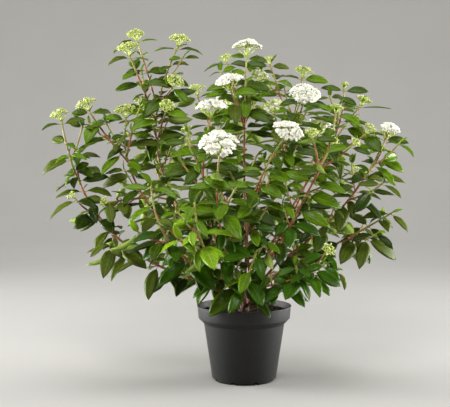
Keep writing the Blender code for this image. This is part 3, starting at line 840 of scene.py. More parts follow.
def bough_radius(ring, rings):
    """A bough's radius at one of its rings: it thins towards its shoot, and swells at the foot."""
    share = min(1, max(0, (ring - len(ROOT_DEPTHS)) / rings))
    collar = COLLAR * max(0, 1 - (ring - 1) / COLLAR_RINGS) ** 2 if ring > 0 else ROOT_COLLAR
    return BOUGH_RADIUS + share * (SHOOT_RADIUS - BOUGH_RADIUS) + collar


bough_lines = []
for number, mass in enumerate(masses):
    line, out = bough_line(mass)
    bough_lines.append(line)
    rings = max(4, round(line.length / BOUGH_STEP))
    points = [line.start - depth * out for depth in ROOT_DEPTHS]
    points += [line.at(ring / rings) for ring in range(rings + 1)]
    points += [mass.shoots[0].line.at(share) for share in SHOOT_SHARES]
    radii = [bough_radius(ring, rings) for ring in range(len(points))]
    wood.add(*tube(points, radii, BOUGH_SIDES, bark_relief(SEED_STEP * number, BOUGH_RIDGE, BOUGH_STEP)))
print("boughs:", len(bough_lines), "the longest", round(max(line.length for line in bough_lines), 3))


# %% Finish of the old wood
# Thin laurustinus bark: warm brown over reddish brown, with paler skin that flakes, and no gloss. The foot
# has a darker copy of it, which is painted shade from the crown above. Its streaks are a millimetre wide, but
# are drawn 2.5 mm wide, so that they show.
def bark_finish(name, dark, middle, light):
    """Bark whose tones lie in streaks along the limb. The streaks are its relief too."""
    tones = ((0.3, dark), (0.5, middle), (0.72, light))
    return grained_finish(
        name, middle, 0.78, tones, across=2.5, detail=6, fineness=0.65, upright=0.3, strength=0.6, depth=0.3
    )


bark = bark_finish("laurustinus_bark", "#40240f", "#6a3c1a", "#80562e")
# A darker copy of the bark for the foot: painted shade, where the crown shades it.
foot_bark_shaded = bark_finish("damp_old_bark", "#26160c", "#432a18", "#5a3e26")
wood.make([bark, foot_bark_shaded], "bark", ["stem_foot", *(f"bough_{mass.name}" for mass in masses)])

# %% [markdown]
# ## How a leaf is shaped
#
# A laurustinus leaf is a leathery oval with a pointed tip, up to 80 mm long and a little under half as wide,
# on a short stalk. It folds up a little beside its midrib, arches back along its length, and its edge is
# faintly wavy. One leaf could be modelled and copied, but then all would be alike. Each leaf here is a
# flattened tube of its own: eight rings of six points and a tip, so it has an upper and a lower skin that
# meet in a sharp edge. The rings' places come from the leaf's own bend, fold and twist.

# %% Rings and faces of a leaf
LEAF_STATIONS = np.array((0, 0.07, 0.18, 0.32, 0.47, 0.62, 0.76, 0.89, 1))
LEAF_WIDTHS = np.array((0.07, 0.42, 0.76, 0.96, 1, 0.91, 0.69, 0.37, 0))
LEAF_ACROSS = np.array((-1, -0.52, 0, 0.52, 1, 0))
LEAF_SKIN = np.array((0, 1, 1, 1, 0, -1))
LEAF_RING = len(LEAF_ACROSS)
LEAF_LAST = len(LEAF_STATIONS) - 2
LEAF_TIP = (LEAF_LAST + 1) * LEAF_RING
UPPER_SIDES = 4


def leaf_faces():
    """A leaf's faces, and for each one its finish: 0 for the upper skin and 1 for the lower."""
    faces = []
    skins = []
    for ring in range(LEAF_LAST + 1):
        for corner in range(LEAF_RING):
            beside = (corner + 1) % LEAF_RING
            low, high = ring * LEAF_RING, (ring + 1) * LEAF_RING
            if ring < LEAF_LAST:
                faces.append((low + corner, high + corner, high + beside, low + beside))
            else:
                faces.append((low + corner, LEAF_TIP, low + beside))
            skins.append(0 if corner < UPPER_SIDES else 1)
    faces.append(tuple(range(LEAF_RING)))
    skins.append(1)
    return faces, skins


def outline_faces():
    """The upper skin again in eight large faces, which are enough to test whether leaves cross."""
    faces = []
    for ring in range(0, LEAF_LAST, 2):
        for left in (ring * LEAF_RING, ring * LEAF_RING + 2):
            if ring < LEAF_LAST - 1:
                faces.append((left, left + 2 * LEAF_RING, left + 2 * LEAF_RING + 2, left + 2))
            else:
                faces.append((left, LEAF_TIP, left + 2))
    return faces


LEAF_FACES, LEAF_SKINS = leaf_faces()
LEAF_OUTLINE = outline_faces()
LEAF_PLACES = [((across + 1) / 2, station) for station in LEAF_STATIONS[:-1] for across in LEAF_ACROSS]
LEAF_PLACES.append((0.5, 1))
print("one leaf:", len(LEAF_FACES), "faces, its outline:", len(LEAF_OUTLINE))

# %% The shape of one leaf
LEAF_WIDTH = 0.425  # of its length
LEAF_THICK = 0.8 * MM
LEAF_BEND = (0.12, 0.8)
LEAF_LIFT = (0.05, 0.24)
LEAF_FOLD = (0.08, 0.48)
LEAF_TWIST = (-0.45, 0.45)
LEAF_SICKLE = (-0.08, 0.08)
LEAF_WAVE = (0, 0.11)
LEAF_FULLNESS = (0.92, 1.12)
LEAF_BULGE = 0.1
WAVE_TURN = 2.2


def leaf_points(place, length, chance):
    """The points of one leaf from its place, X along it and Z up from its upper skin, and its chance."""
    bend = chance.uniform(*LEAF_BEND)
    rise = chance.uniform(*LEAF_LIFT)
    fold = chance.uniform(*LEAF_FOLD)
    twist = chance.uniform(*LEAF_TWIST)
    sickle = chance.uniform(*LEAF_SICKLE)
    wave = chance.uniform(*LEAF_WAVE)
    half = length * LEAF_WIDTH / 2 * chance.uniform(*LEAF_FULLNESS) * LEAF_WIDTHS
    pitch = rise - bend * LEAF_STATIONS
    ahead = length * (math.sin(rise) - np.sin(pitch)) / bend
    above = length * (np.cos(pitch) - math.cos(rise)) / bend
    across = np.outer(half, LEAF_ACROSS)
    crest = fold * np.abs(LEAF_ACROSS) + LEAF_BULGE * np.sin(math.pi * np.abs(LEAF_ACROSS))
    waves = wave * np.outer(np.cos(np.arange(len(LEAF_STATIONS)) * WAVE_TURN), LEAF_ACROSS)
    lift = half[:, None] * (crest + waves) + LEAF_THICK / 2 * LEAF_SKIN
    turned = twist * LEAF_STATIONS[:, None]
    side = across * np.cos(turned) - lift * np.sin(turned) + sickle * length * LEAF_STATIONS[:, None] ** 2
    lift = across * np.sin(turned) + lift * np.cos(turned)
    forward = ahead[:, None] - np.sin(pitch)[:, None] * lift
    upward = above[:, None] + np.cos(pitch)[:, None] * lift
    shape = np.stack((forward, side, upward), axis=-1).reshape(-1, 3)[: LEAF_TIP + 1]
    shape[LEAF_TIP] = (ahead[-1], sickle * length, above[-1])
    turn = np.array(place.to_3x3())
    return shape @ turn.T + np.array(place.translation)


trial = leaf_points(Matrix(), 1, random.Random("trial"))
print("a leaf of length 1 reaches", [round(size, 2) for size in trial.max(axis=0) - trial.min(axis=0)])

# %% [markdown]
# ## Growing the leaves
#
# The rule is the solid model's, with leaves of their real size where that has fewer and larger ones. Leaves
# sit in opposite pairs, each pair a quarter turn from the one below. Low leaves hang and high ones spread,
# and their faces turn to the light. Some axils carry a short leafy spur or two very young leaves. Particles
# or an array could scatter leaves faster, but couldn't keep them apart. Here a leaf that would cross another
# leaf, a limb or another mass's space is turned or shortened, and left out if that doesn't help.

# %% What has grown so far
TIP_RADIUS = 1.65 * MM
SPACE_OVERLAP = 34 * MM
REACH_OVER = 14 * MM
LIMB_CLEAR = 0.8 * MM
LIMB_STRETCH = 30 * MM
SPOTS_ON_SHOOT = 8


class Crown:
    """What has grown so far, so that a new leaf or twig can be tested against all that is near."""

    def __init__(self):
        self.keys = []
        self.trees = []
        self.middles = np.zeros((0, 3))
        self.reaches = np.zeros(0)
        spots = [
            (number, shoot.line.at(step / (SPOTS_ON_SHOOT - 1)))
            for number, mass in enumerate(masses)
            for shoot in mass.shoots
            for step in range(SPOTS_ON_SHOOT)
        ]
        self.spots = np.array([spot for _, spot in spots])
        self.owners = np.array([number for number, _ in spots])

    def measure(self, points):
        """The middle of these points and how far they reach from it."""
        middle = points.mean(axis=0)
        return middle, np.linalg.norm(points - middle, axis=1).max()

    def remember(self, key, points, faces):
        points = np.asarray(points)
        middle, reach = self.measure(points)
        self.keys.append(key)
        self.trees.append(BVHTree.FromPolygons([tuple(point) for point in points], faces))
        self.middles = np.vstack((self.middles, middle))
        self.reaches = np.append(self.reaches, reach)

    def is_clear(self, key, points, faces):
        """Whether this shape crosses nothing that has grown, apart from what has the same key."""
        points = np.asarray(points)
        middle, reach = self.measure(points)
        away = np.linalg.norm(self.middles - middle, axis=1)
        near = np.nonzero(away < self.reaches + reach)[0]
        tree = BVHTree.FromPolygons([tuple(point) for point in points], faces)
        return not any(self.keys[other] != key and tree.overlap(self.trees[other]) for other in near)

    def in_space(self, number, point):
        """Whether a point is in the solid's reach and nearest, or nearly, to this mass's own shoots."""
        for low, at, high in zip(CAD_BOX[0], point, CAD_BOX[1]):
            if not low - REACH_OVER < at < high + REACH_OVER:
                return False
        away = np.linalg.norm(self.spots - np.array(point), axis=1)
        own = away[self.owners == number].min()
        return own < away[self.owners != number].min() + SPACE_OVERLAP

    def remember_limb(self, key, line, radius, tip_radius):
        """Remembers a limb in short stretches, a little thicker than it is."""
        stretches = max(1, round(line.length / LIMB_STRETCH))
        for step in range(stretches):
            shares = (step / stretches, (step + 1) / stretches)
            radii = [radius + share * (tip_radius - radius) + LIMB_CLEAR for share in shares]
            self.remember(key, *tube([line.at(share) for share in shares], radii, 4))


# %% What stands before the first leaf
crown = Crown()
for line in bough_lines:
    crown.remember_limb("bough", line, BOUGH_RADIUS, SHOOT_RADIUS)
for thing in (pot, compost):
    crown.remember("pot", *skin_of(thing))
for mass in masses:
    for shoot in mass.shoots:
        crown.remember_limb((mass.name, shoot.key), shoot.line, shoot.radius, TIP_RADIUS)
print("remembered before the first leaf:", len(crown.keys))

# %% Where a leaf sits
LEAF_RISE = 0.32
LEAF_LEVEL = 0.4
LIGHT_PULL = 0.6
LIGHT_SIDEWAYS = 1.6
LIGHT_MIDDLE = 120 * MM  # how far back the light comes from the back instead of the front
LIGHT_USUAL = 0.8
ASIDE = Vector((0.3, 1, 0.2))


def facing(origin, forward, upward):
    """A matrix at origin with X forward and Z as near to upward as it can be."""
    forward = forward.normalized()
    side = upward.cross(forward).normalized()
    return Matrix.Translation(origin) @ Matrix((forward, side, forward.cross(side))).transposed().to_4x4()


def light_from(spot, outwards):
    """Where a leaf's light comes from: from above, and this much from the nearer side, front or back."""
    out = Vector((LIGHT_SIDEWAYS * spot.x, -1 if spot.y < LIGHT_MIDDLE else 1, 0)).normalized()
    return (UP + outwards * out).normalized()


def leaf_place(shoot, share, turn, droop, roll=0, outwards=LIGHT_USUAL):
    """Where a leaf sits on its shoot: out at this turn, hanging by droop, its face turned to the light."""
    spot = shoot.line.at(share)
    along = shoot.line.along(share)
    light = light_from(spot, outwards)
    side = along.cross(ASIDE).normalized()
    out = Matrix.Rotation(turn, 3, along) @ side
    out.z *= LEAF_LEVEL
    forward = (out.normalized() + LEAF_RISE * along - droop * UP).normalized()
    forward -= LIGHT_PULL * forward.dot(light) * light
    return facing(spot, forward, light) @ Matrix.Rotation(roll, 4, "X")


# %% Which green a leaf has
# each part of the crown and its greens, each green with the chance of it or one before it; the deep green
# dealt to the back, the inner crown and low down is painted shade, and the bright green dealt high in front
# and on top is painted light
GREEN_CHANCES = {
    "young spray": (("fresh", 0.75), ("bright", 1)),
    "high in front": (("bright", 0.5), ("middle", 1)),
    "low in front": (("bright", 0.15), ("grassy", 1)),
    "low at the sides": (("olive", 0.65), ("deep", 0.85), ("middle", 1)),
    "top": (("bright", 0.5), ("middle", 0.85), ("olive", 1)),
    "shade": (("deep", 0.6), ("middle", 1)),
    "rest": (("middle", 0.55), ("bright", 0.7), ("olive", 0.88), ("deep", 1)),
}
YOUNG_FROM = 0.3
FRONT_HIGH, FRONT_LOW = 95 * MM, 75 * MM  # how far forward the front begins, above and below its level
FRONT_LEVEL = 340 * MM
FRONT_SIDE = 160 * MM
SIDES_FROM = 150 * MM
SIDES_UNDER = 420 * MM
TOP_FROM = 430 * MM
BACK_FROM = 100 * MM
STEMS_WITHIN = 80 * MM
LOW_UNDER = 240 * MM
TIP_FROM = 0.9
FRESH_TIP = 0.06

GREENS = ("fresh", "bright", "middle", "grassy", "olive", "deep")
leaves = {green: Heap(f"leaves_{green}") for green in GREENS}


def part_of_crown(mass, share, spot):
    """The part of the crown that a leaf is in, as far as its green depends on it."""
    if mass.name == "young_front" and share > YOUNG_FROM:
        return "young spray"
    # High in front and on top, half the leaves take the bright green, which paints light there.
    if spot.y < -FRONT_HIGH and spot.z > FRONT_LEVEL:
        return "high in front"
    if spot.y < -FRONT_LOW and abs(spot.x) < FRONT_SIDE and spot.z < FRONT_LEVEL:
        return "low in front"
    if abs(spot.x) > SIDES_FROM and spot.z < SIDES_UNDER:
        return "low at the sides"
    if spot.z > TOP_FROM:
        return "top"
    # The back, the inner crown and the lowest leaves lie in shade, and their deep green paints that shade.
    if spot.y > BACK_FROM or spot.xy.length < STEMS_WITHIN or spot.z < LOW_UNDER:
        return "shade"
    return "rest"


def green_of(mass, shoot, share, chance):
    """Which green a leaf has: by its part of the crown, and now and then fresh at a leafy tip."""
    roll = chance.random()
    if share > TIP_FROM and not shoot.width and roll < FRESH_TIP:
        return "fresh"
    greens = GREEN_CHANCES[part_of_crown(mass, share, shoot.line.at(share))]
    return next(green for green, below in greens if roll < below)


# %% One leaf on its stalk
LEAF_LENGTH = 74 * MM
LEAF_STALK = 7.5 * MM
STALK_RADII = (1.05 * MM, 0.8 * MM, 0.6 * MM)
STALK_SAG = 0.016  # of the leaf's length
STALK_INTO_LEAF = 1.5 * MM
LIGHT_OUT = (0.1, 1.3)
FACE_ROLL = 0.4
TURNED_OVER = 0.08  # the share of the front's leaves that show their pale lower skin
IN_SPACE_AT = (0.6, 1)
# how far a leaf is turned and to what share of its length it is shortened, from one trial to the next
LEAF_TRIALS = (
    (0, 1), (0.35, 0.95), (-0.35, 0.95), (0.7, 0.85), (-0.7, 0.85),
    (0.2, 0.7), (-0.2, 0.7), (0, 0.52), (0.5, 0.45),
)

green_shoots = Heap("green_shoots")


def add_leaf(number, mass, shoot, share, turn, droop, length, chance):
    """One leaf on its stalk, turned and shortened until it fits. Says whether it grew."""
    key = (mass.name, shoot.key)
    green = green_of(mass, shoot, share, chance)
    seed = chance.random()
    roll = chance.uniform(-FACE_ROLL, FACE_ROLL)
    if seed < TURNED_OVER and shoot.line.at(share).y < 0:
        roll += math.pi
    outwards = chance.uniform(*LIGHT_OUT)
    for twist, shorter in LEAF_TRIALS:
        place = leaf_place(shoot, share, turn + twist, droop, roll, outwards)
        size = shorter * length
        stalk = LEAF_STALK * size / LEAF_LENGTH + shoot.radius
        reach = [place @ Vector((stalk + part * size, 0, 0)) for part in IN_SPACE_AT]
        if not all(crown.in_space(number, point) for point in reach):
            continue
        points = leaf_points(place @ Matrix.Translation((stalk, 0, 0)), size, random.Random(seed))
        if crown.is_clear(key, points, LEAF_OUTLINE):
            crown.remember((*key, "leaf"), points, LEAF_OUTLINE)
            leaves[green].add(points, LEAF_FACES, LEAF_SKINS, LEAF_PLACES)
            root = place.translation
            end = Vector(points[:LEAF_RING].mean(axis=0)) + place.to_3x3() @ Vector((STALK_INTO_LEAF, 0, 0))
            middle = 0.5 * (root + end) - STALK_SAG * size * UP
            green_shoots.add(*tube([root, middle, end], STALK_RADII, 4))
            return True
    return False


# %% Very young leaves
YOUNG_TURN = 0.6
YOUNG_LIGHT = 0.6
YOUNG_CUP = 0.3
YOUNG_FRESH = 0.25
YOUNG_ASIDE = Vector((0.2, 1, 0.1))
SPROUT_STALK = 0.35
SPROUT_RADII = (1 * MM, 0.7 * MM)
SPROUT_INTO_LEAVES = 0.8 * MM
SPROUT_WAY = (0.7, 1, 0.5)
SPROUT_SPREAD = 0.8


def young_pair(key, number, end, way, length, spread, chance):
    """Two very young leaves at the end of a shoot that points this way. Says whether one of them grew."""
    side = way.cross(YOUNG_ASIDE).normalized()
    side = Matrix.Rotation(chance.uniform(-YOUNG_TURN, YOUNG_TURN), 3, way) @ side
    grown = False
    for half in (-1, 1):
        light = light_from(end, YOUNG_LIGHT) - YOUNG_CUP * half * side
        points = leaf_points(facing(end, way + spread * half * side, light), length, chance)
        if crown.in_space(number, points[-1]) and crown.is_clear(key, points, LEAF_OUTLINE):
            crown.remember("young pair", points, LEAF_OUTLINE)
            green = "fresh" if chance.random() < YOUNG_FRESH else "bright"
            leaves[green].add(points, LEAF_FACES, LEAF_SKINS, LEAF_PLACES)
            grown = True
    return grown


def axil_way(shoot, share, turn, out, along, up):
    """The way a twig leaves a leaf's axil: this much out with the leaf, along the shoot and up."""
    leaf = leaf_place(shoot, share, turn, 0).to_3x3() @ Vector((1, 0, 0))
    return (out * leaf + along * shoot.line.along(share) + up * UP).normalized()


def sprout(number, shoot, share, turn, length, chance):
    """A pair of very young leaves on a short stalk in a leaf's axil, if there is room."""
    way = axil_way(shoot, share, turn, *SPROUT_WAY)
    start = shoot.line.at(share)
    end = start + SPROUT_STALK * length * way
    if young_pair(None, number, end, way, length, SPROUT_SPREAD, chance):
        green_shoots.add(*tube([start, end + SPROUT_INTO_LEAVES * way], SPROUT_RADII, 4))


# %% Drawing a shoot
SHOOT_STEP = 7 * MM
SHOOT_SIDES = 8
NODE_SWELLING = 0.28 * MM
NODE_REACH = 6 * MM
OVER_LAST_LEAF = 2 * MM
END_BUD = ((2.5 * MM, 0.8), (5 * MM, 0.2))  # how far its two rings are from the shoot's end, and how wide
GREEN_OVER = 0.02 * MM

brown_shoots = Heap("brown_shoots")


def draw_shoot(shoot, nodes, green_share):
    """One shoot as far as its head or a last pointed bud, swollen at its leaves, brown below, green above."""
    if not nodes and not shoot.width:
        return
    reach = 1 if shoot.width else nodes[-1] + OVER_LAST_LEAF / shoot.line.length
    rings = max(3, round(reach * shoot.line.length / SHOOT_STEP))
    shares = [reach * ring / rings for ring in range(rings + 1)]
    points = [shoot.line.at(share) for share in shares]
    radii = []
    for share in shares:
        away = min((abs(share - node) * shoot.line.length for node in nodes), default=NODE_REACH)
        swelling = NODE_SWELLING * max(0, 1 - away / NODE_REACH)
        radii.append(shoot.radius + share * (TIP_RADIUS - shoot.radius) + swelling)
    if not shoot.width:
        end, radius, way = points[-1], radii[-1], shoot.line.along(reach)
        points += [end + over * way for over, _ in END_BUD]
        radii += [thinner * radius for _, thinner in END_BUD]
    turn = round((1 - green_share) * rings)
    if turn > 0:
        brown_shoots.add(*tube(points[: turn + 1], radii[: turn + 1], SHOOT_SIDES))
    if turn < rings:
        green_shoots.add(*tube(points[turn:], [radius + GREEN_OVER for radius in radii[turn:]], SHOOT_SIDES))


# %% Leaves up one shoot
NODE_SPACING = 31 * MM
NODE_TWIST = 0.3
PAIR_TWIST = 0.25
FIRST_TWIST = 0.35
FIRST_PAIR, LAST_PAIR = 0.55, 0.3  # of a pair's spacing, from the shoot's start and before its end
LEAFY_END = 0.98
LEAF_GRADES = (0.6, 1.08)
LEAF_SHRINK = 0.25
DROOP = (0.1, 0.6)
HANG = 0.8
HANG_FROM = 480 * MM
HANG_OVER = 250 * MM
SPUR_CHANCE = 0.32
INNER_SPUR_CHANCE = 0.6
INNER_REACH = 90 * MM
SPUR_LENGTH = 62 * MM
SPUR_GRADES = (0.7, 1.2)
SPUR_FROM, SPUR_TO = 0.05, 0.9
SPROUT_CHANCE = 0.3
SPROUT_LEAF = 21 * MM
SPROUT_GRADES = (0.6, 1.2)
TIP_LEAF = 30 * MM
TIP_GRADES = (0.8, 1.2)
TIP_OVER = 3 * MM
TIP_SPREAD = 0.45


def add_leaves(number, mass, shoot, size, spurs):
    """Leaf pairs up one shoot, with leafy spurs and sprouts in some axils. Gives the shares with leaves."""
    chance = random.Random(f"{mass.name} {shoot.key}")
    pairs = max(2, round(shoot.line.length / NODE_SPACING))
    turn = -math.pi / 2 * pairs + chance.uniform(-FIRST_TWIST, FIRST_TWIST)
    nodes = []
    for pair in range(pairs):
        share = (pair + FIRST_PAIR) / (pairs - LAST_PAIR)
        if pair == pairs - 1 and not shoot.width:
            share = LEAFY_END
        turn += math.pi / 2 + chance.uniform(-NODE_TWIST, NODE_TWIST)
        for half in (0, 1):
            length = LEAF_LENGTH * size * chance.uniform(*LEAF_GRADES) * (1 - LEAF_SHRINK * share * share)
            low = min(1, max(0, (HANG_FROM - shoot.line.at(share).z) / HANG_OVER))
            droop = chance.uniform(*DROOP) + HANG * low
            spur_length = SPUR_LENGTH * chance.uniform(*SPUR_GRADES)
            roll = chance.random()
            way = turn + half * math.pi + chance.uniform(-PAIR_TWIST, PAIR_TWIST)
            if add_leaf(number, mass, shoot, share, way, droop, length, chance):
                nodes.append(share)
            inner = shoot.line.at(share).xy.length < INNER_REACH
            spur_chance = INNER_SPUR_CHANCE if inner else SPUR_CHANCE
            if spurs and roll < spur_chance and SPUR_FROM < share < SPUR_TO:
                add_spur(number, mass, shoot, share, way, spur_length)
            elif roll > 1 - SPROUT_CHANCE:
                sprout(number, shoot, share, way, SPROUT_LEAF * chance.uniform(*SPROUT_GRADES), chance)
    if nodes and not shoot.width:
        along = shoot.line.along(nodes[-1])
        tip = shoot.line.at(nodes[-1]) + TIP_OVER * along
        length = TIP_LEAF * size * chance.uniform(*TIP_GRADES)
        young_pair((mass.name, shoot.key), number, tip, along, length, TIP_SPREAD, chance)
    return nodes


# %% Leafy spurs
SPUR_RADIUS = 1.3 * MM
SPUR_WAY = (0.8, 0.6, 0.5)
SPUR_LEAF = 0.72
SPUR_UNDER = 8 * MM
SPUR_GREEN = 0.6
SPUR_RINGS = 4


def add_spur(number, mass, shoot, share, turn, length):
    """A short leafy twig from a leaf's axil, between the leaf and its shoot."""
    start = shoot.line.at(share)
    way = axil_way(shoot, share, turn, *SPUR_WAY)
    tip = start + length * way
    middle = start + 0.5 * length * way - SIDE_BOW * length * UP
    spur = Shoot((shoot.key, round(share, 2), turn), start, middle, tip, SPUR_RADIUS, 0)
    rings = [spur.line.at(ring / (SPUR_RINGS - 1)) for ring in range(SPUR_RINGS)]
    around = tube(rings, [SPUR_RADIUS + LIMB_CLEAR] * SPUR_RINGS, 4)
    low_enough = tip.z < shoot.line.tip.z - SPUR_UNDER
    if low_enough and crown.in_space(number, tip) and crown.is_clear((mass.name, shoot.key), *around):
        crown.remember_limb((mass.name, spur.key), spur.line, SPUR_RADIUS, TIP_RADIUS)
        draw_shoot(spur, add_leaves(number, mass, spur, SPUR_LEAF, False), SPUR_GREEN)


# %% Grow the leaves and draw the shoots
FLOWERING_GREEN = 0.28
YOUNG_GREEN = 0.8
LEAFY_GREEN = 0.45

for number, mass in enumerate(masses):
    for shoot in mass.shoots:
        leafy_green = YOUNG_GREEN if mass.name == "young_front" else LEAFY_GREEN
        nodes = add_leaves(number, mass, shoot, 1, True)
        draw_shoot(shoot, nodes, FLOWERING_GREEN if shoot.width else leafy_green)
print("leaves:", sum(heap.things for heap in leaves.values()), "things remembered:", len(crown.keys))

# %% [markdown]
# ## Flower heads
#
# A laurustinus head is a flat cyme: about seven stalks fan out from the shoot's tip, each forks again, and
# every fork ends in a few buds, all at nearly one height, so that the head is a low dome. In the photograph
# some heads are open and white, a few are just opening, and most are still greenish yellow buds. An open
# flower is a small funnel with five round lobes. Places on the dome come from a sunflower spiral, which
# spreads them evenly without rows. Each is then drawn towards the middle of its own cluster, one to a stalk,
# so that gaps show between the clusters, as they do on the real head.

# %% One open flower
PETALS = 5
FLORET_OUTLINE = ((0, 0.5, 0.12), (0.25, 0.92, 0.16), (0.5, 1.0, 0.1), (0.75, 0.92, 0.16))
FLORET_STEPS = PETALS * len(FLORET_OUTLINE)
THROAT_DEPTH = 0.12
FUNNEL_DEPTH = 0.75


def floret(place, size):
    """Points and faces of one open flower: five lobes round a throat, over a short funnel."""
    points = [-THROAT_DEPTH * UP, -FUNNEL_DEPTH * UP]
    for petal in range(PETALS):
        for part, radius, height in FLORET_OUTLINE:
            points.append(on_circle(radius, math.tau * (petal + part) / PETALS, height))
    faces = []
    for step in range(FLORET_STEPS):
        here, beside = 2 + step, 2 + (step + 1) % FLORET_STEPS
        faces += [(0, here, beside), (1, beside, here)]
    return [place @ (size * point) for point in points], faces


# %% One bud
BEAD_POINT = 0.45


def bead(place, radius, rings, sides):
    """Points and faces of a small pointed bead, from its foot through its rings to its tip."""
    points = [0 * UP]
    for share, height in rings:
        points += [on_circle(share, math.tau * corner / sides, height) for corner in range(sides)]
    points.append((rings[-1][1] + BEAD_POINT) * UP)
    top = 1 + (len(rings) - 1) * sides
    faces = []
    for corner in range(sides):
        beside = (corner + 1) % sides
        faces.append((0, 1 + beside, 1 + corner))
        for low in range(1, top, sides):
            high = low + sides
            faces.append((low + corner, low + beside, high + beside, high + corner))
        faces.append((top + corner, top + beside, len(points) - 1))
    return [place @ (radius * point) for point in points], faces


# %% Places on the dome of a head
GOLDEN_TURN = math.pi * (3 - math.sqrt(5))
HEAD_TOP = 0.54
HEAD_FALL = 0.24
CLUSTER_PULL = 0.18


def any_way(reach, chance):
    """A step by chance, up to this far along each axis."""
    return Vector([chance.uniform(-reach, reach) for _ in range(3)])


def spiral(width, count, chance, spread):
    """Places on a head's dome in a sunflower spiral from its middle to its edge, each moved a little."""
    places = []
    for number in range(count):
        share = math.sqrt((number + 0.5) / count)
        height = width * (HEAD_TOP - HEAD_FALL * share**2)
        spot = on_circle(0.5 * width * share, number * GOLDEN_TURN, height)
        places.append(spot + spread * any_way(1, chance))
    return places


def nearest_to(spot, others):
    return min(others, key=lambda other: (other - spot).length)


def gather(spot, middles, shifts):
    """A place on the dome drawn towards the middle of its own cluster, so that gaps show between clusters."""
    middle = nearest_to(spot, middles)
    return spot.lerp(middle, CLUSTER_PULL) + shifts[middles.index(middle)]


# %% The fan of stalks under a head
# counts follow the head's width or area in millimetres
FEWEST_CLUSTERS, CLUSTERS_MORE, CLUSTER_WIDTH = 4, 3, 15
CLUSTER_SPREAD = 1 * MM
CLUSTER_SHIFT = (0.022, 0.022, 0.03)
RAY_REACH = 0.64
RAY_FOOT = 1 * MM
FEWEST_FORKS, FORK_AREA = 9, 85
FORK_SPREAD = 1.4 * MM
FORK_REACH = 0.84
# each order of stalks has a radius at its foot, one at its end, and a number of sides
RAYS = ((1.15 * MM, 0.95 * MM), 5)
FORKS = ((0.8 * MM, 0.65 * MM), 4)

stalks = Heap("flower_stalks")


def add_fan(place, width, chance):
    """A head's rays and forks. Gives the middle and the shift of each cluster, and where the forks end."""
    size = width / MM
    clusters = max(FEWEST_CLUSTERS, round(CLUSTERS_MORE + size / CLUSTER_WIDTH))
    middles = spiral(width, clusters, chance, CLUSTER_SPREAD)
    shifts = [width * Vector([chance.uniform(-part, part) for part in CLUSTER_SHIFT]) for _ in middles]
    rays = [RAY_REACH * middle for middle in middles]
    forks = spiral(width, max(FEWEST_FORKS, round(size * size / FORK_AREA)), chance, FORK_SPREAD)
    forks = [FORK_REACH * gather(spot, middles, shifts) for spot in forks]
    for ray in rays:
        stalks.add(*tube([place @ (-RAY_FOOT * UP), place @ ray], *RAYS))
    for fork in forks:
        stalks.add(*tube([place @ nearest_to(fork, rays), place @ fork], *FORKS))
    return middles, shifts, forks


# %% One flower or bud on its stalk
FLOWER_STALKS = ((0.4 * MM, 0.38 * MM), 3)
STALK_UNDER = 1.2 * MM
FACING_FROM = 0.25  # of the head's width, how far under it the point is that its flowers face away from
FACING_CHANCE = 0.4
FLORET_RADIUS = 4.4 * MM
FLORET_GRADES = (0.82, 1.1)
CENTRE_RADIUS = 0.75 * MM
CENTRE_SUNK = 0.5 * MM
CENTRE_RINGS = ((1, 0.4), (0.8, 1.3))
CENTRE_SIDES = 5
BUD_RADIUS = 1.8 * MM
BUD_GRADES = (0.75, 1.15)
BUD_RINGS = ((0.6, 0.25), (1, 0.9), (0.72, 1.6))
BUD_SIDES = 6

florets = Heap("open_florets")
centres = Heap("floret_centres")
green_buds = Heap("green_buds")
cream_buds = Heap("cream_buds")


def add_flower(place, width, fork, spot, shares, chance):
    """A flower or bud at its spot in a head, on a stalk from its fork, open or cream by these shares."""
    open_share, cream_share = shares
    out = (spot + FACING_FROM * width * UP).normalized()
    out = (out + any_way(FACING_CHANCE, chance)).normalized()
    turn = Matrix.Rotation(chance.uniform(0, math.tau), 4, "Z")
    sits = place @ facing(spot, out.orthogonal(), out) @ turn
    stalks.add(*tube([place @ fork, place @ (spot - STALK_UNDER * out)], *FLOWER_STALKS))
    if chance.random() < open_share:
        florets.add(*floret(sits, FLORET_RADIUS * chance.uniform(*FLORET_GRADES)))
        sunk = sits @ Matrix.Translation(-CENTRE_SUNK * UP)
        centres.add(*bead(sunk, CENTRE_RADIUS, CENTRE_RINGS, CENTRE_SIDES))
    else:
        heap = cream_buds if cream_share == 1 or chance.random() < cream_share else green_buds
        heap.add(*bead(sits, BUD_RADIUS * chance.uniform(*BUD_GRADES), BUD_RINGS, BUD_SIDES))


# %% All the heads
# the share of a head's places that are open flowers, and the share of the others that are cream, not green
OPEN, OPENING, CLOSED = (0.94, 1), (0.12, 0.5), (0, 0.22)
FLOWERS_TO_AREA, BUDS_TO_AREA = 0.042, 0.062  # in each square millimetre of a head's width squared
FLOWER_SPREAD = 2.2 * MM
FLOWER_OVER_FORK = 0.14
FORK_PULL = 0.16


def add_head(mass, shoot):
    """A head of open flowers, of buds, or of both, on its fan of stalks."""
    key = (mass.name, shoot.key)
    shares = OPEN if key in OPEN_HEADS else OPENING if key in OPENING_HEADS else CLOSED
    chance = random.Random(f"head {mass.name} {shoot.key}")
    width = shoot.width
    size = width / MM
    place = facing(shoot.line.at(1), shoot.axis.orthogonal(), shoot.axis)
    middles, shifts, forks = add_fan(place, width, chance)
    count = round((FLOWERS_TO_AREA if shares == OPEN else BUDS_TO_AREA) * size * size)
    for spot in spiral(width, count, chance, FLOWER_SPREAD):
        spot = gather(spot, middles, shifts)
        fork = nearest_to(spot, forks)
        spot = spot.lerp(fork + FLOWER_OVER_FORK * width * UP, FORK_PULL)
        add_flower(place, width, fork, spot, shares, chance)


for mass in masses:
    for shoot in mass.shoots:
        if shoot.width:
            add_head(mass, shoot)
print("florets:", florets.things, "buds:", green_buds.things + cream_buds.things)
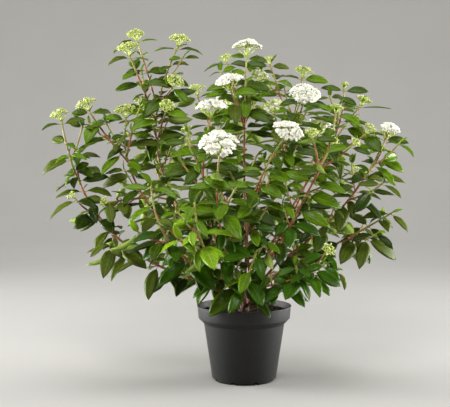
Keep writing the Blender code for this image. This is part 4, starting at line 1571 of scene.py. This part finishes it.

# %% [markdown]
# ## Finishes of the living parts
#
# Leaves get six greens for their upper skin, by their place in the crown, and one pale lower skin. Bright,
# middle and deep are one green at three strengths: where a leaf sits picks the strength, so they paint light
# high in front and on top and shade in the back, the middle and low down. A photograph of a leaf could be
# laid on each, but nodes can draw one whose colours are easy to change: a plain green with the veins laid
# over it by the leaf's own pattern, along and across it, whatever way it hangs.

# %% Leaf finishes
VEINS = 6
VEIN_SLANT = 0.62


def leaf_finish(name, colour, vein_colour, roughness, vein_share, relief):
    """A leathery leaf skin: sunken midrib and side veins, drawn from the leaf's own pattern places."""
    made, place = start_finish(name, colour, roughness, IOR=1.46, Specular_IOR_Level=0.12)
    flat = add_node(made, "UVMap", "UV", {}, uv_map="pattern")
    across = add_node(made, "SeparateXYZ", "X", {"Vector": flat})
    length = across.node.outputs["Y"]
    centred = add_node(made, "Math", "Value", {0: across, 1: 0.5}, operation="SUBTRACT")
    away = add_node(made, "Math", "Value", {0: centred}, operation="ABSOLUTE")
    slant = add_node(made, "Math", "Value", {0: away, 1: VEIN_SLANT}, operation="MULTIPLY")
    along = add_node(made, "Math", "Value", {0: length, 1: slant}, operation="SUBTRACT")
    turns = add_node(made, "Math", "Value", {0: along, 1: math.tau * VEINS}, operation="MULTIPLY")
    ripple = add_node(made, "Math", "Value", {0: turns}, operation="COSINE")
    side_veins = add_node(made, "MapRange", "Result", {"Value": ripple, "From Min": 0.72, "To Max": 0.7})
    midrib = add_node(made, "MapRange", "Result", {"Value": away, "From Min": 0.055, "From Max": 0.02})
    veins = add_node(made, "Math", "Value", {0: side_veins, 1: midrib}, operation="MAXIMUM")
    share = add_node(made, "Math", "Value", {0: veins, 1: vein_share}, operation="MULTIPLY")
    mottle = add_node(made, "TexNoise", "Fac", {"Vector": place, "Scale": per_metre(26), "Detail": 3})
    shades = {"Value": mottle, "From Min": 0.3, "From Max": 0.75, "To Min": 0.86, "To Max": 1.14}
    paler = add_node(made, "MapRange", "Result", shades)
    toned = add_node(made, "HueSaturation", "Color", {"Color": light_of(colour), "Value": paler})
    tones = {"Factor": share, "A": toned, "B": light_of(vein_colour)}
    wax = {"From Min": 0.3, "From Max": 0.7, "To Min": roughness - 0.05, "To Max": roughness + 0.1}
    sunken = {"Height": veins, "Strength": relief, "Distance": 0.5 * MM}
    end_finish(
        made,
        Base_Color=add_node(made, "Mix", "Result", tones, data_type="RGBA"),
        Roughness=add_node(made, "MapRange", "Result", {"Value": mottle, **wax}),
        Normal=add_node(made, "Bump", "Normal", sunken, invert=True),
    )
    return made


# The upper skin is leathery and waxed, so lamps show on it as soft pale patches. Older, olive leaves have
# lost some of that wax. The lower skin is matt and grey green, with paler veins. Both drift a little in tone
# over 26 mm, about a third of a leaf. Each green has its colour, its veins' colour and its roughness.
# Bright, middle and deep are lit and shaded strengths of one green: painted light and shade.
UPPER_GREENS = {
    "fresh": ("#688c10", "#a2b844", 0.27),
    "bright": ("#486604", "#789026", 0.27),
    "middle": ("#324804", "#5e721e", 0.27),
    "grassy": ("#2a4a02", "#4e701c", 0.27),
    "olive": ("#414e0c", "#637426", 0.42),
    "deep": ("#203005", "#405219", 0.27),
}
lower_skin = leaf_finish("leaf_lower_skin", "#667a2e", "#8e9e52", 0.55, vein_share=0.4, relief=0.25)
foliage_nodes = [f"foliage_{mass.name}" for mass in masses]
for green, look in UPPER_GREENS.items():
    upper_skin = leaf_finish(f"leaf_upper_skin_{green}", *look, vein_share=0.5, relief=0.5)
    leaves[green].make([upper_skin, lower_skin], "foliage", foliage_nodes)


# %% Finishes of shoots, petals and buds
def soft_finish(name, colour, other, across, roughness, relief):
    """A soft living skin: one colour that drifts to another in patches this many millimetres across."""
    made, place = start_finish(name, colour, roughness, IOR=1.42)
    sizes = {"Vector": place, "Scale": per_metre(across), "Detail": 4, "Roughness": 0.6}
    patches = add_node(made, "TexNoise", "Fac", sizes)
    drift = add_node(made, "MapRange", "Result", {"Value": patches, "From Min": 0.38, "From Max": 0.64})
    tones = {"Factor": drift, "A": light_of(colour), "B": light_of(other)}
    uneven = {"Height": patches, "Strength": relief, "Distance": 0.3 * MM}
    end_finish(
        made,
        Base_Color=add_node(made, "Mix", "Result", tones, data_type="RGBA"),
        Normal=add_node(made, "Bump", "Normal", uneven),
    )
    return made


# Last year's shoots are red brown and smooth, with paler corky spots. Those are under a millimetre wide, but
# are drawn as patches of 6 mm, so that they show. This year's shoots are yellow green, flushed red for 16 mm
# at a time, and the flower stalks are paler still, in stretches of 8 mm. Petals are thin and waxy white,
# faintly cream. Buds are firm and greenish yellow, or cream when about to open. Petals and buds drift in
# tone over their own width of 2 to 5 mm. Each row has a heap, its slot, the name of its finish, the two
# colours, the width of a patch in millimetres, the roughness and how strong the relief is.
SOFT_SKINS = (
    (brown_shoots, "bark", "red_brown_shoot_bark", "#80421c", "#96663e", 6, 0.5, 0.3),
    (green_shoots, "foliage", "green_shoot_skin", "#869640", "#946c40", 16, 0.45, 0.1),
    (stalks, "foliage", "pale_stalk_skin", "#c8d66e", "#b0bf58", 8, 0.5, 0.1),
    (florets, "foliage", "white_petal", "#ebeade", "#e0dfcf", 5, 0.55, 0.05),
    (centres, "foliage", "cream_stamens", "#e0dcae", "#c8c482", 2, 0.6, 0.2),
    (green_buds, "foliage", "greenish_yellow_bud", "#b6c066", "#98a646", 3, 0.5, 0.1),
    (cream_buds, "foliage", "cream_bud", "#dcdeb6", "#c6ce88", 3, 0.5, 0.1),
)
for heap, slot, *skin in SOFT_SKINS:
    heap.make([soft_finish(*skin)], slot, foliage_nodes)

# %% [markdown]
# ## Measuring
#
# The dressed shrub has to keep the solid one's size, so both boxes are kept for comparison.

# %% Keep both boxes
DRESSED_BOX = [list(corner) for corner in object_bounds()]
for corner, name in enumerate(("lowest", "highest")):
    off = [round(1000 * (there - here), 1) for there, here in zip(DRESSED_BOX[corner], CAD_BOX[corner])]
    print(name, "corner, dressed less solid, mm:", off)
